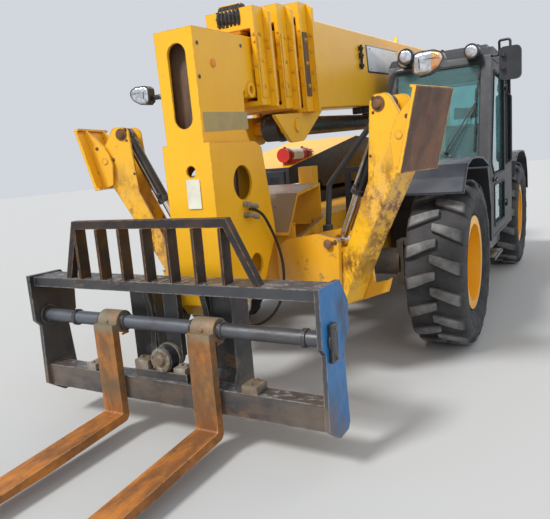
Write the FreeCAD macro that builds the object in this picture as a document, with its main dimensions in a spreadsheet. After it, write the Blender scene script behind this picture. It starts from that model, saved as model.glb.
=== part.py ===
# A telescopic handler with front stabilisers and floating forks, in millimetres.
# X points to the machine's left, Y to its rear and Z up. The origin is on the ground,
# midway between the fork tips and the counterweight.
import FreeCAD
import Part
import Sketcher
import math
import os
import re

# Independent sizes. Columns: name, value in millimetres or degrees.
SIZES = (
    # wheels
    ("wheelbase", 3120), ("track_half", 1020),
    ("tyre_radius", 612), ("tyre_half_width", 206), ("lug_depth", 42), ("lug_width", 44),
    ("bead_radius", 318), ("rim_radius", 345), ("rim_half_width", 170), ("rim_wall", 20),
    ("hub_radius", 150), ("hub_reach", 75), ("spindle_radius", 60), ("kingpin_offset", 760),
    ("knuckle_radius", 70), ("knuckle_height", 270), ("axle_radius", 105), ("axle_half", 690),
    ("running_gap", 0.05), ("working_gap", 8),
    # lengths from the front axle
    ("fork_reach", 3377), ("rear_overhang", 1020),
    # chassis
    ("rail_half", 265), ("rail_thick", 30), ("rail_low", 480), ("rail_top", 1050), ("arch_top", 800),
    ("rail_front", 1022),
    ("deck_thick", 20), ("pivot_back", 3500), ("pivot_height", 2300), ("pivot_pin", 45),
    ("ram_foot_back", 2750), ("ram_foot_drop", 470),
    # stabilisers
    ("frame_front", 1190), ("frame_back", 930), ("frame_low", 555), ("frame_plate", 25),
    ("frame_in", 240), ("frame_out", 650), ("leg_turn", 15),
    ("leg_pivot_side", 520), ("leg_pivot_height", 640), ("leg_depth", 198), ("leg_plate", 16),
    ("ear_side", 600), ("ear_height", 950), ("leg_top_side", 966), ("leg_top_height", 1724),
    ("foot_side", 1100), ("foot_height", 1550), ("foot_low", 178), ("foot_high", 257), ("foot_width", 390),
    ("foot_thick", 20), ("foot_lean", 14.2), ("foot_standoff", 80), ("pin_radius", 22),
    # boom
    ("boom_rise", 3.45), ("boom_half", 200), ("boom_low", 251), ("boom_high", 355), ("boom_wall", 10),
    ("section_step", 26), ("section_drop", 29), ("section_top_drop", 54),
    ("collar_top", 436), ("collar_top_drop", 38), ("boom_tail", 210), ("boom_front", 4066),
    ("collar_long", 113), ("collar_pitch", 264), ("collar_flange", 60),
    ("lug_half", 150), ("lug_plate", 25), ("lift_eye_front", 740), ("lift_eye_drop", 610),
    ("lift_radius", 70), ("lift_rod_radius", 50), ("lift_barrel_long", 2900),
    # boom head
    ("nose_half", 125), ("nose_low_half", 160), ("nose_wall", 15), ("nose_front", 1775),
    ("tilt_front", 1660), ("tilt_height", 672),
    # fork carriage
    ("carriage_left", 918), ("carriage_right", 965), ("plate_thick", 25), ("bar_top", 900), ("bar_low", 845),
    ("shaft_front", 2060), ("shaft_height", 655), ("shaft_radius", 38),
    ("low_bar_front", 2104), ("low_bar_deep", 106), ("low_bar_low", 222), ("low_bar_high", 352),
    ("fork_width", 138), ("fork_left_side", 245), ("fork_right_side", 395), ("fork_thick", 50),
    ("heel_front", 2158), ("heel_height", 146), ("fork_pitch", 2.7), ("fork_boss", 62),
    ("rest_high", 1222), ("rest_bar", 45),
    # cab
    ("cab_in", 340), ("cab_out", 1200), ("cab_wall", 50), ("cab_back", 2260), ("cab_low", 640),
    ("cab_roof", 2262), ("pillar", 70), ("door_hinge_back", 1700), ("door_thick", 40), ("glass_thick", 6),
    ("steer_back", 1200), ("steer_height", 1300), ("column_lean", 30),
    # engine side
    ("bonnet_in", 350), ("bonnet_out", 1150), ("bonnet_wall", 25), ("bonnet_hinge_back", 2340),
    ("bonnet_hinge_height", 1560),
    # body work
    ("fender_in", 640), ("fender_out", 1215), ("fender_thick", 14),
    ("stalk_radius", 19), ("lamp_left_side", 1100), ("lamp_right_side", 1070), ("lamp_front", 820), ("lamp_half", 92),
    ("lamp_left_height", 1950), ("lamp_right_height", 2022),
    ("mirror_wide", 165), ("mirror_high", 256), ("mirror_out", 157),
)

# Places worked out from the sizes. Columns: name, formula.
PLACES = (
    ("front_axle", "(fork_reach - wheelbase - rear_overhang) / 2"),
    ("rear_axle", "front_axle + wheelbase"),
    ("rear_end", "rear_axle + rear_overhang"),
    ("pivot_y", "front_axle + pivot_back"),
    ("lift_eye_height", "pivot_height - lift_eye_drop"),
    ("ram_foot_height", "pivot_height - ram_foot_drop"),
    ("eye_y", "front_axle - lift_eye_front"),
    ("ram_foot_y", "front_axle + ram_foot_back"),
    ("lift_long", "sqrt((ram_foot_y - eye_y)^2 + (ram_foot_height - lift_eye_height)^2)"),
    ("tilt_y", "front_axle - tilt_front"),
    ("shaft_y", "front_axle - shaft_front"),
    ("heel_y", "front_axle - heel_front"),
    ("leg_y", "front_axle - (frame_front + frame_back) / 2"),
    ("prop_long", "sqrt((leg_top_side - ear_side)^2 + (leg_top_height - ear_height)^2)"),
    ("hinge_y", "front_axle + door_hinge_back"),
    ("hinge_x", "cab_out + 14"),
    ("bonnet_y", "front_axle + bonnet_hinge_back"),
    ("steer_y", "front_axle + steer_back"),
)

doc = FreeCAD.newDocument("telehandler")
sheet = doc.addObject("Spreadsheet::Sheet", "Sizes")
places = doc.addObject("App::FeaturePython", "Places")
TABLE_OF = {name: "Sizes" for name, value in SIZES}
TABLE_OF.update({name: "Places" for name, text in PLACES})
NODES = []
AXES = {"X": FreeCAD.Vector(1, 0, 0), "Y": FreeCAD.Vector(0, 1, 0), "Z": FreeCAD.Vector(0, 0, 1)}


def formula(text):
    """A formula in plain names, each name pointed at the table that holds it."""
    def point(found):
        word = found.group(0)
        return TABLE_OF[word] + "." + word if word in TABLE_OF else word
    return re.sub(r"[a-z_]{3,}", point, str(text))


def fill_tables():
    for row, (name, value) in enumerate(SIZES, start=1):
        sheet.set("A%d" % row, name)
        sheet.set("B%d" % row, str(value))
        sheet.setAlias("B%d" % row, name)
    doc.recompute()
    for name, text in PLACES:
        places.addProperty("App::PropertyFloat", name)
        places.setExpression(name, formula(text))
    doc.recompute()


def value(name):
    """A size or place as a number."""
    return float(getattr(sheet if TABLE_OF[name] == "Sizes" else places, name))


def set_place(thing, x, y, z):
    for letter, text in (("x", x), ("y", y), ("z", z)):
        thing.setExpression("Placement.Base." + letter, formula(text))


def turn(thing, axis, angle):
    thing.Placement = FreeCAD.Placement(thing.Placement.Base, FreeCAD.Rotation(AXES[axis], 1))
    thing.setExpression("Placement.Rotation.Angle", formula(angle))


def block(name, x0, x1, y0, y1, z0, z1):
    """A box between two corners."""
    box = doc.addObject("Part::Box", name)
    box.setExpression("Length", formula("(%s) - (%s)" % (x1, x0)))
    box.setExpression("Width", formula("(%s) - (%s)" % (y1, y0)))
    box.setExpression("Height", formula("(%s) - (%s)" % (z1, z0)))
    set_place(box, x0, y0, z0)
    return box


def rod(name, axis, radius, x, y, z, long):
    """A cylinder along an axis, from the given end."""
    bar = doc.addObject("Part::Cylinder", name)
    bar.setExpression("Radius", formula(radius))
    bar.setExpression("Height", formula(long))
    bar.Placement = FreeCAD.Placement(FreeCAD.Vector(), FreeCAD.Rotation(AXES["Z"], AXES[axis]))
    set_place(bar, x, y, z)
    return bar


def sketch_on(body, plane, offset, loops, holes):
    """A fixed sketch of closed loops and round holes on one of the body's own planes."""
    sketch = body.newObject("Sketcher::SketchObject", body.Name + "Sketch")
    origin = [part for part in body.Origin.OriginFeatures if part.Role == plane + "_Plane"][0]
    sketch.AttachmentSupport = [(origin, "")]
    sketch.MapMode = "FlatFace"
    sketch.setExpression("AttachmentOffset.Base.z", formula(offset))
    rules = []
    texts = []
    line = 0
    for loop in loops:
        count = len(loop)
        for corner in range(count):
            angle = 2 * math.pi * corner / count
            after = 2 * math.pi * (corner + 1) / count
            sketch.addGeometry(Part.LineSegment(
                FreeCAD.Vector(100 * math.cos(angle), 100 * math.sin(angle), 0),
                FreeCAD.Vector(100 * math.cos(after), 100 * math.sin(after), 0)))
        for corner in range(count):
            after = (corner + 1) % count
            rules.append(Sketcher.Constraint("Coincident", line + corner, 2, line + after, 1))
            texts.append(None)
            for kind, text in (("DistanceX", loop[corner][0]), ("DistanceY", loop[corner][1])):
                rules.append(Sketcher.Constraint(kind, -1, 1, line + corner, 1, 50.0))
                texts.append(text)
        line += count
    for across, up, radius in holes:
        sketch.addGeometry(Part.Circle(FreeCAD.Vector(10, 10, 0), AXES["Z"], 5))
        for kind, text in (("DistanceX", across), ("DistanceY", up)):
            rules.append(Sketcher.Constraint(kind, -1, 1, line, 3, 10.0))
            texts.append(text)
        rules.append(Sketcher.Constraint("Radius", line, 5.0))
        texts.append(radius)
        line += 1
    sketch.addConstraint(rules)
    for number, text in enumerate(texts):
        if text is not None:
            sketch.setExpression("Constraints[%d]" % number, formula(text))
    return sketch


def prism(name, plane, start, depth, outline, holes=(), inner=(), round_corners=()):
    """A plate or beam: an outline on a plane, from start over depth along the plane's axis.

    round_corners holds pairs of corner numbers and a radius.
    """
    body = doc.addObject("PartDesign::Body", name)
    offset = start if plane != "XZ" else "-(%s) - (%s)" % (start, depth)
    loops = [outline] + ([inner] if inner else [])
    sketch = sketch_on(body, plane, offset, loops, holes)
    pad = body.newObject("PartDesign::Pad", name + "Pad")
    pad.Profile = sketch
    pad.setExpression("Length", formula(depth))
    doc.recompute()
    for order, (corners, radius) in enumerate(round_corners):
        tip = body.Tip
        edges = []
        for corner in corners:
            spot = sketch.Placement.multVec(sketch.Geometry[corner].StartPoint)
            along = sketch.Placement.Rotation.multVec(AXES["Z"])
            for number, edge in enumerate(tip.Shape.Edges, start=1):
                if not isinstance(edge.Curve, Part.Line) or edge.Length < 0.01:
                    continue
                way = edge.tangentAt(edge.FirstParameter)
                gap = (edge.Vertexes[0].Point - spot).cross(along).Length
                if abs(way.dot(along)) > 0.999 and gap < 0.01:
                    edges.append("Edge%d" % number)
        bend = body.newObject("PartDesign::Fillet", "%sRound%d" % (name, order))
        bend.Base = (tip, edges)
        bend.setExpression("Radius", formula(radius))
        body.Tip = bend
        doc.recompute()
    return body


def spun(name, outline):
    """A turned solid: an outline of distance along X and radius, spun round the X axis."""
    body = doc.addObject("PartDesign::Body", name)
    sketch = sketch_on(body, "XY", "0", [outline], ())
    lathe = body.newObject("PartDesign::Revolution", name + "Turned")
    lathe.Profile = sketch
    lathe.ReferenceAxis = (sketch, ["H_Axis"])
    lathe.Angle = 360
    return body


def fused(name, parts):
    if len(parts) == 1:
        return parts[0]
    whole = doc.addObject("Part::MultiFuse", name)
    whole.Shapes = parts
    whole.Refine = True
    return whole


def cut(name, base, tools):
    left = doc.addObject("Part::Cut", name)
    left.Base = base
    left.Tool = fused(name + "Tools", tools)
    left.Refine = True
    return left


def mirrored(name, source):
    copy = doc.addObject("Part::Mirroring", name)
    copy.Source = source
    copy.Normal = AXES["X"]
    return copy


def swung(name, thing):
    """A piece of the left stabiliser: built square, then turned about the upright line of the leg's pin."""
    turned = doc.addObject("Part::Compound", name)
    turned.Links = [thing]
    turn(turned, "Z", "-leg_turn")
    set_place(turned, "leg_pivot_side * (1 - cos(leg_turn)) - leg_y * sin(leg_turn)",
              "leg_y * (1 - cos(leg_turn)) + leg_pivot_side * sin(leg_turn)", "0")
    return turned


def keep(node, thing):
    """Names a finished sub-part and lists it for writing."""
    thing.Label = node
    NODES.append(thing)
    return thing


def tube(node, route, radius, bend):
    """A bent round tube: straight runs joined by tangent arcs, as far as the bend radius."""
    points = [FreeCAD.Vector(*point) for point in route]
    edges = []
    last = points[0]
    for before, corner, after in zip(points, points[1:], points[2:]):
        back = (before - corner).normalize()
        onward = (after - corner).normalize()
        half = back.getAngle(onward) / 2
        reach = bend / math.tan(half)
        start = corner + back * reach
        end = corner + onward * reach
        middle = (back + onward).normalize()
        mid = corner + middle * (bend / math.sin(half) - bend)
        edges.append(Part.LineSegment(last, start).toShape())
        edges.append(Part.Arc(start, mid, end).toShape())
        last = end
    edges.append(Part.LineSegment(last, points[-1]).toShape())
    path = Part.Wire(edges)
    ring = Part.Wire([Part.makeCircle(radius, points[0], (points[1] - points[0]).normalize())])
    return path.makePipeShell([ring], True, True)


def feature(name, shape):
    """A solid made from its shape, placed after the shape is set."""
    thing = doc.addObject("Part::Feature", name)
    thing.Shape = shape
    return thing


def chassis_frame():
    """Two tall side plates with arches over the axles and towers for the boom, and what ties them."""
    outline = [
        ("front_axle - rail_front", "frame_low"), ("front_axle - 440", "rail_low + 40"),
        ("front_axle - 330", "arch_top"), ("front_axle + 330", "arch_top"),
        ("front_axle + 440", "rail_low"), ("rear_axle - 440", "rail_low"),
        ("rear_axle - 330", "arch_top"), ("rear_axle + 330", "arch_top"),
        ("rear_axle + 440", "rail_low + 80"), ("rear_end - 260", "rail_low + 80"),
        ("rear_end - 260", "rail_top + 120"), ("pivot_y + 230", "pivot_height - 100"),
        ("pivot_y + 150", "pivot_height + 150"), ("pivot_y - 130", "pivot_height + 150"),
        ("pivot_y - 480", "ram_foot_height + 160"), ("ram_foot_y - 170", "ram_foot_height + 110"),
        ("ram_foot_y - 190", "ram_foot_height - 120"), ("ram_foot_y - 420", "rail_top"),
        ("front_axle - 560", "rail_top"), ("front_axle - rail_front", "ear_height"),
    ]
    side = prism("side_plate", "YZ", "rail_half - rail_thick", "rail_thick", outline,
                 holes=[("pivot_y", "pivot_height", "pivot_pin + running_gap"),
                        ("ram_foot_y", "ram_foot_height", "pivot_pin")],
                 round_corners=[((12, 13), "80"), ((14, 15), "60"), ((17,), "150")])
    inside = "rail_half - rail_thick"
    deck = block("deck", "-(%s)" % inside, inside, "front_axle - 560", "ram_foot_y - 420",
                 "rail_top - deck_thick", "rail_top")
    belly = block("belly", "-(%s)" % inside, inside, "front_axle + 440", "rear_axle - 440",
                  "rail_low", "rail_low + deck_thick")
    rear = block("rear_tie", "-(%s)" % inside, inside, "rear_end - 290", "rear_end - 260",
                 "rail_low + 80", "rail_top + 120")
    tie = block("tower_tie", "-(%s)" % inside, inside, "ram_foot_y - 260", "ram_foot_y - 230",
                "rail_top - deck_thick", "ram_foot_height - 330")
    saddles = [block("saddle%d" % order, "-(%s)" % inside, inside, "%s - 120" % axle, "%s + 120" % axle,
                     "arch_top", "rail_top - deck_thick")
               for order, axle in enumerate(("front_axle", "rear_axle"))]
    rest = block("boom_rest", "-60", "60", "front_axle - 300", "front_axle - 200", "rail_top", "rail_top + 350")
    stub = rod("ram_foot_pin", "X", "pivot_pin", "70", "ram_foot_y", "ram_foot_height", "rail_half - 58")
    keep("chassis_frame", fused("chassis_frame_solid", [side, mirrored("side_plate_right", side), deck, belly,
                                                        rear, tie, stub, mirrored("ram_foot_pin_right", stub)]
                                + saddles + [rest]))


def stabiliser_frame():
    """The splayed boxes at the front that hold the legs between their plates, and the plate that joins them."""
    inner = "frame_in - 80"
    top = [("ear_side + 72", "ear_height + 30"), ("ear_side - 90", "ear_height + 58"), ("frame_in + 10", "ear_height + 12"),
           (inner, "ear_height - 47")]
    front = [(inner, "frame_low + 45"), ("frame_out - 28", "frame_low"), ("frame_out + 6", "frame_low + 36")] + top
    back = [(inner, "frame_low + 45"), ("frame_out - 80", "frame_low - 35"), ("frame_out + 189", "frame_low + 71"),
            ("frame_out + 218", "frame_low + 160"), ("frame_out + 196", "frame_low + 146"),
            ("frame_out + 96", "frame_low + 120"), ("frame_out + 85", "frame_low + 210")] + top
    parts = []
    for order, (start, outline) in enumerate((("front_axle - frame_front", front),
                                              ("front_axle - frame_back - frame_plate", back))):
        rounds = len(outline)
        parts.append(prism("frame_plate%d" % order, "XZ", start, "frame_plate", outline,
                           holes=[("leg_pivot_side", "leg_pivot_height", "pin_radius + 14"),
                                  ("ear_side", "ear_height", "pin_radius")],
                           round_corners=[((rounds - 4,), "40"), ((rounds - 3,), "60")]))
    inside = "front_axle - frame_front + frame_plate"
    parts.append(block("frame_web", "frame_in", "frame_in + frame_plate", inside,
                       "front_axle - frame_back - frame_plate", "frame_low + 30", "ear_height - 60"))
    parts.append(block("frame_floor", "frame_in", "frame_in + 120", inside,
                       "front_axle - frame_back - frame_plate", "frame_low + 30", "frame_low + 30 + frame_plate"))
    for order, start in enumerate(("front_axle - frame_front - 14", "leg_y + 34")):
        parts.append(rod("ear_pin%d" % order, "Y", "pin_radius", "ear_side", start, "ear_height",
                         "(frame_front - frame_back) / 2 + 14 - 34"))
    room = block("frame_trim", "-10", "rail_half + 0.3", "front_axle - rail_front - 0.3", "front_axle",
                 "frame_low - 60", "rail_top + 200")
    one = cut("frame_left_trimmed", swung("frame_left_turned", fused("frame_left", parts)), [room])
    rear_face = "front_axle - rail_front"
    tie = block("frame_tie", "-frame_in - 10", "frame_in + 10", rear_face + " - frame_plate", rear_face,
                "frame_low", "ear_height + 112")
    slope = prism("frame_slope", "YZ", "-rail_half + rail_thick", "2 * (rail_half - rail_thick)",
                  [(rear_face + " - 76", "ear_height + 35"), (rear_face + " - 76", "ear_height + 55"),
                   (rear_face + " + 87", "ear_height + 295"), ("front_axle - 560", "rail_top + 235"),
                   ("front_axle - 560", "rail_top + 215"), (rear_face + " + 97", "ear_height + 274"),
                   (rear_face + " - 60", "ear_height + 35")])
    riser = block("slope_riser", "-rail_half + rail_thick + 0.3", "rail_half - rail_thick - 0.3", "front_axle - 575",
                  "front_axle - 560.3", "rail_top - 60", "rail_top + 225")
    keep("stabiliser_frame", fused("stabiliser_frame_solid", [one, mirrored("frame_right", one), tie, slope, riser]))


def leg_outline():
    return [("leg_pivot_side - 60", "leg_pivot_height - 45"), ("frame_out + 15", "frame_low + 12"),
            ("frame_out + 103", "765"), ("857", "972"), ("foot_side + 35", "foot_height - 74"),
            ("foot_side + 42", "foot_height + 40"), ("leg_top_side + 62", "leg_top_height + 52"),
            ("leg_top_side - 54", "leg_top_height + 52"), ("879", "1316"), ("706", "935"),
            ("leg_pivot_side - 55", "leg_pivot_height + 50")]


def stabilisers():
    """Legs that swing down outwards, each with a ram, a rod and a tilting foot."""
    front = "leg_y - leg_depth / 2"
    back = "leg_y + leg_depth / 2"
    parts = []
    for order, start in enumerate((front, back + " - leg_plate")):
        parts.append(prism("leg_plate%d" % order, "XZ", start, "leg_plate", leg_outline(),
                           round_corners=[((6, 7), "50"), ((4,), "30"), ((0, 10), "30")]))
    web = [("frame_out + 15", "frame_low + 12"), ("frame_out + 103", "765"), ("857", "972"),
           ("foot_side + 20", "foot_height - 101"), ("foot_side", "foot_height - 101"), ("837", "977"),
           ("frame_out + 83", "772"), ("frame_out - 5", "frame_low + 24")]
    parts.append(prism("leg_web", "XZ", front, "leg_depth", web))
    parts.append(rod("leg_pivot_pin", "Y", "pin_radius + 13.95", "leg_pivot_side",
                     "front_axle - frame_front - 10", "leg_pivot_height", "frame_front - frame_back + 20"))
    parts.append(rod("leg_top_pin", "Y", "pin_radius - running_gap", "leg_top_side", front + " - 14",
                     "leg_top_height", "leg_depth + 28"))
    parts.append(rod("leg_foot_pin", "Y", "pin_radius - running_gap", "foot_side", front + " - 30", "foot_height",
                     "leg_depth + 60"))
    leg = keep("stabiliser_leg_left", swung("leg_turned", fused("leg_left", parts)))
    keep("stabiliser_leg_right", mirrored("leg_right", leg))
    lean = "180 + atan2(leg_top_side - ear_side; leg_top_height - ear_height) / 1deg"
    eye = cut("prop_eye_ring", rod("prop_eye", "Y", "46", "0", "-28", "0", "56"),
              [rod("prop_eye_hole", "Y", "pin_radius", "0", "-28", "0", "56")])
    barrel = cut("prop_tube", rod("prop_tube_out", "Z", "42", "0", "0", "40", "490"),
                 [rod("prop_tube_in", "Z", "27.05", "0", "0", "120", "500")])
    barrel = fused("prop_barrel", [eye, barrel])
    turn(barrel, "Y", lean)
    set_place(barrel, "leg_top_side", "leg_y", "leg_top_height")
    barrel = keep("stabiliser_barrel_left", swung("prop_barrel_turned", barrel))
    keep("stabiliser_barrel_right", mirrored("prop_barrel_right", barrel))
    rod_eye = cut("prop_rod_ring", rod("prop_rod_eye", "Y", "42", "0", "-28", "prop_long", "56"),
                  [rod("prop_rod_hole", "Y", "pin_radius + 1", "0", "-28", "prop_long", "56")])
    shank = rod("prop_rod", "Z", "27", "0", "0", "130", "prop_long - 165")
    piston = fused("prop_piston", [shank, rod_eye])
    turn(piston, "Y", lean)
    set_place(piston, "leg_top_side", "leg_y", "leg_top_height")
    piston = keep("stabiliser_rod_left", swung("prop_piston_turned", piston))
    keep("stabiliser_rod_right", mirrored("prop_piston_right", piston))
    feet()


def feet():
    """A sole with its ends folded in, on two cheeks that hang from the leg's lower pin."""
    plate = block("foot_plate", "foot_standoff", "foot_standoff + foot_thick", "-foot_width / 2 - 15",
                  "foot_width / 2 - 15", "-foot_low", "foot_high")
    cheeks = []
    outline = [("foot_standoff + 5", "foot_high"), ("foot_standoff - 12", "foot_high - 4"), ("-30", "95"), ("-47", "30"),
               ("-47", "-40"), ("0", "6 - foot_low"), ("foot_standoff + 5", "-foot_low")]
    for order, start in enumerate(("-leg_depth / 2 - 26", "leg_depth / 2 + 8")):
        cheeks.append(prism("foot_cheek%d" % order, "XZ", start, "18", outline,
                            holes=[("0", "0", "pin_radius")], round_corners=[((3, 4), "30"), ((5,), "12")]))
    lips = [block("foot_lip%d" % order, "foot_standoff - 16", "foot_standoff + 4", "-foot_width / 2 - 15",
                  "foot_width / 2 - 15", low, high) for order, (low, high) in
            enumerate((("foot_high - 14", "foot_high"), ("-foot_low", "14 - foot_low")))]
    foot = fused("foot", [plate] + cheeks + lips)
    turn(foot, "Y", "foot_lean")
    set_place(foot, "foot_side", "leg_y", "foot_height")
    foot = keep("stabiliser_foot_left", swung("foot_turned", foot))
    keep("stabiliser_foot_right", mirrored("foot_right", foot))


def tyre_shape():
    """A carcass of flat bands with deep slanting lugs that meet in a chevron."""
    sides = 24
    radius = value("tyre_radius")
    wide = value("tyre_half_width")
    crown = radius - value("lug_depth")
    bead = value("bead_radius")
    seat = value("rim_half_width") - value("rim_wall")
    half = [(wide - 40, crown - 4), (wide, crown - 70), (wide - 16, crown - 170),
            (seat, value("rim_radius") + 4), (seat, bead)]
    profile = [(-across, out) for across, out in reversed(half)] + half
    step = 2 * math.pi / sides

    def ring_point(across, out, angle):
        return FreeCAD.Vector(across, out * math.cos(angle), out * math.sin(angle))

    faces = []
    for side in range(sides):
        near, far = side * step, (side + 1) * step
        for (a, b) in zip(profile, profile[1:] + profile[:1]):
            corners = [ring_point(*a, near), ring_point(*b, near), ring_point(*b, far), ring_point(*a, far)]
            faces.append(Part.Face(Part.makePolygon(corners + corners[:1])))
    carcass = Part.Solid(Part.Shell(faces))
    if carcass.Volume < 0:
        carcass.reverse()
    lug_count = 18
    thick = value("lug_width")
    lean = 49.0
    flat = math.sqrt(radius ** 2 - lean ** 2)
    lowest = math.degrees(math.asin(lean / radius))
    outline = [(-14, 82 - thick), (-14, 82), (wide + 2, 6 + thick / 2), (wide + 2, 6 - thick / 2)]
    lugs = []
    for order in range(lug_count):
        for hand in (1, -1):
            angle = 360.0 / lug_count * (order + (0.5 if hand < 0 else 0)) + lowest
            corners = [FreeCAD.Vector(hand * across, along + lean - 82, flat) for across, along in outline]
            face = Part.Face(Part.makePolygon(corners + corners[:1]))
            lug = face.extrude(FreeCAD.Vector(0, 0, -(flat - crown + 50)))
            lug.rotate(FreeCAD.Vector(), AXES["X"], angle)
            lugs.append(lug)
    return carcass.fuse(lugs)


def wheels():
    """Four steered wheels: tyre, rim with its hub, and knuckle."""
    rim_in = "rim_radius - 40 - rim_wall"
    seat = "rim_half_width - rim_wall"
    outline = [("-rim_half_width", rim_in), ("-rim_half_width", "rim_radius"), ("-(%s)" % seat, "rim_radius"),
               ("-(%s)" % seat, "rim_radius - 40"), (seat, "rim_radius - 40"), (seat, "rim_radius"),
               ("rim_half_width", "rim_radius"), ("rim_half_width", rim_in), ("15", rim_in),
               ("15", "hub_radius"), ("hub_reach", "hub_radius - 12"), ("hub_reach", "0"), ("-20", "0"),
               ("-20", "spindle_radius"), ("-rim_half_width + 20", "spindle_radius"),
               ("-rim_half_width + 20", "hub_radius"), ("-5", "hub_radius"), ("-5", rim_in)]
    tyre = tyre_shape()
    for end, axle in (("front", "front_axle"), ("rear", "rear_axle")):
        for hand, sign in (("left", ""), ("right", "-")):
            spot = (sign + "track_half", axle, "tyre_radius")
            name = end + "_" + hand
            rim = spun("rim_" + name, outline)
            if hand == "right":
                rim.Placement = FreeCAD.Placement(FreeCAD.Vector(), FreeCAD.Rotation(AXES["Z"], 180))
            set_place(rim, *spot)
            keep("wheel_rim_" + name, rim)
            shape = tyre if hand == "left" else tyre.mirror(FreeCAD.Vector(), AXES["X"])
            rubber = feature("tyre_" + name, shape)
            set_place(rubber, *spot)
            keep("wheel_tyre_" + name, rubber)
            knuckle(name, hand, sign, axle)


def knuckle(name, hand, sign, axle):
    """The upright that turns on the kingpin and carries the hub on its spindle."""
    core = rod("core_" + name, "Z", "knuckle_radius", "kingpin_offset", axle,
               "tyre_radius - knuckle_height / 2", "knuckle_height")
    spindle = rod("spindle_" + name, "X", "spindle_radius - running_gap", "kingpin_offset", axle, "tyre_radius",
                  "track_half - 21 - kingpin_offset")
    flange = rod("flange_" + name, "X", "hub_radius - 30", "track_half - rim_half_width - 16", axle, "tyre_radius",
                 "30")
    pin = rod("kingpin_" + name, "Z", "30 - running_gap", "kingpin_offset", axle,
              "tyre_radius - knuckle_height / 2 - 40", "knuckle_height + 80")
    arm = block("arm_" + name, "kingpin_offset - 20", "kingpin_offset + 20", axle, axle + " + 190",
                "tyre_radius - 60", "tyre_radius - 25")
    whole = fused("upright_" + name, [core, spindle, flange, pin, arm])
    if hand == "right":
        whole = mirrored("upright_mirror_" + name, whole)
    keep("knuckle_" + name, whole)


def axles():
    """A beam with a swollen centre and a forked end for each knuckle; the rear one is the front one turned."""
    axle = "front_axle"
    beam = rod("axle_beam", "X", "axle_radius", "-axle_half + 40", axle, "tyre_radius", "2 * axle_half - 80")
    centre = doc.addObject("Part::Sphere", "axle_centre")
    centre.setExpression("Radius", formula("axle_radius + 65"))
    set_place(centre, "0", axle, "tyre_radius")
    nose = rod("axle_input", "Y", "75", "0", axle, "tyre_radius", "260")
    pad = block("axle_pad", "rail_half - 90", "rail_half", axle + " - 90", axle + " + 90", "tyre_radius + 60",
                "arch_top")
    yoke = block("axle_yoke", "axle_half - 60", "axle_half - 10", axle + " - 75", axle + " + 75",
                 "tyre_radius - knuckle_height / 2 - 40", "tyre_radius + knuckle_height / 2 + 40")
    ears = []
    for low in ("tyre_radius + knuckle_height / 2 + 1", "tyre_radius - knuckle_height / 2 - 40"):
        ear = rod("axle_ear%d" % len(ears), "Z", "68", "kingpin_offset", axle, low, "39")
        arm = block("axle_ear_arm%d" % len(ears), "axle_half - 30", "kingpin_offset", axle + " - 60",
                    axle + " + 60", low, low + " + 39")
        ears.append(fused("axle_ear_pair%d" % len(ears), [ear, arm]))
    ends = fused("axle_end", [pad, yoke] + ears)
    whole = fused("axle_solid", [beam, centre, nose, ends, mirrored("axle_end_right", ends)])
    bores = rod("axle_bore", "Z", "30", "kingpin_offset", axle, "tyre_radius - knuckle_height / 2 - 60",
                "knuckle_height + 120")
    front = cut("front_axle_bored", whole, [bores, mirrored("axle_bore_right", bores)])
    rear = mirrored("rear_axle_turned", front)
    rear.Normal = AXES["Y"]
    rear.setExpression("Base.y", formula("(front_axle + rear_axle) / 2"))
    keep("front_axle", front)
    keep("rear_axle", rear)


def section(name, order, front, back):
    """One hollow boom section, in the boom's own frame: forward is minus Y from the pivot."""
    half = "boom_half - %d * section_step" % order
    low = "-boom_low + %d * section_drop" % order
    high = "boom_high - %d * section_top_drop" % order
    outer = [("-(%s)" % half, low), (half, low), (half, high), ("-(%s)" % half, high)]
    inner = [("-(%s) + boom_wall" % half, low + " + boom_wall"), (half + " - boom_wall", low + " + boom_wall"),
             (half + " - boom_wall", high + " - boom_wall"), ("-(%s) + boom_wall" % half, high + " - boom_wall")]
    return prism(name, "XZ", "-(%s)" % front, "%s - (%s)" % (front, back), outer, inner=inner,
                 round_corners=[((0, 1, 2, 3), "12")])


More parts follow.
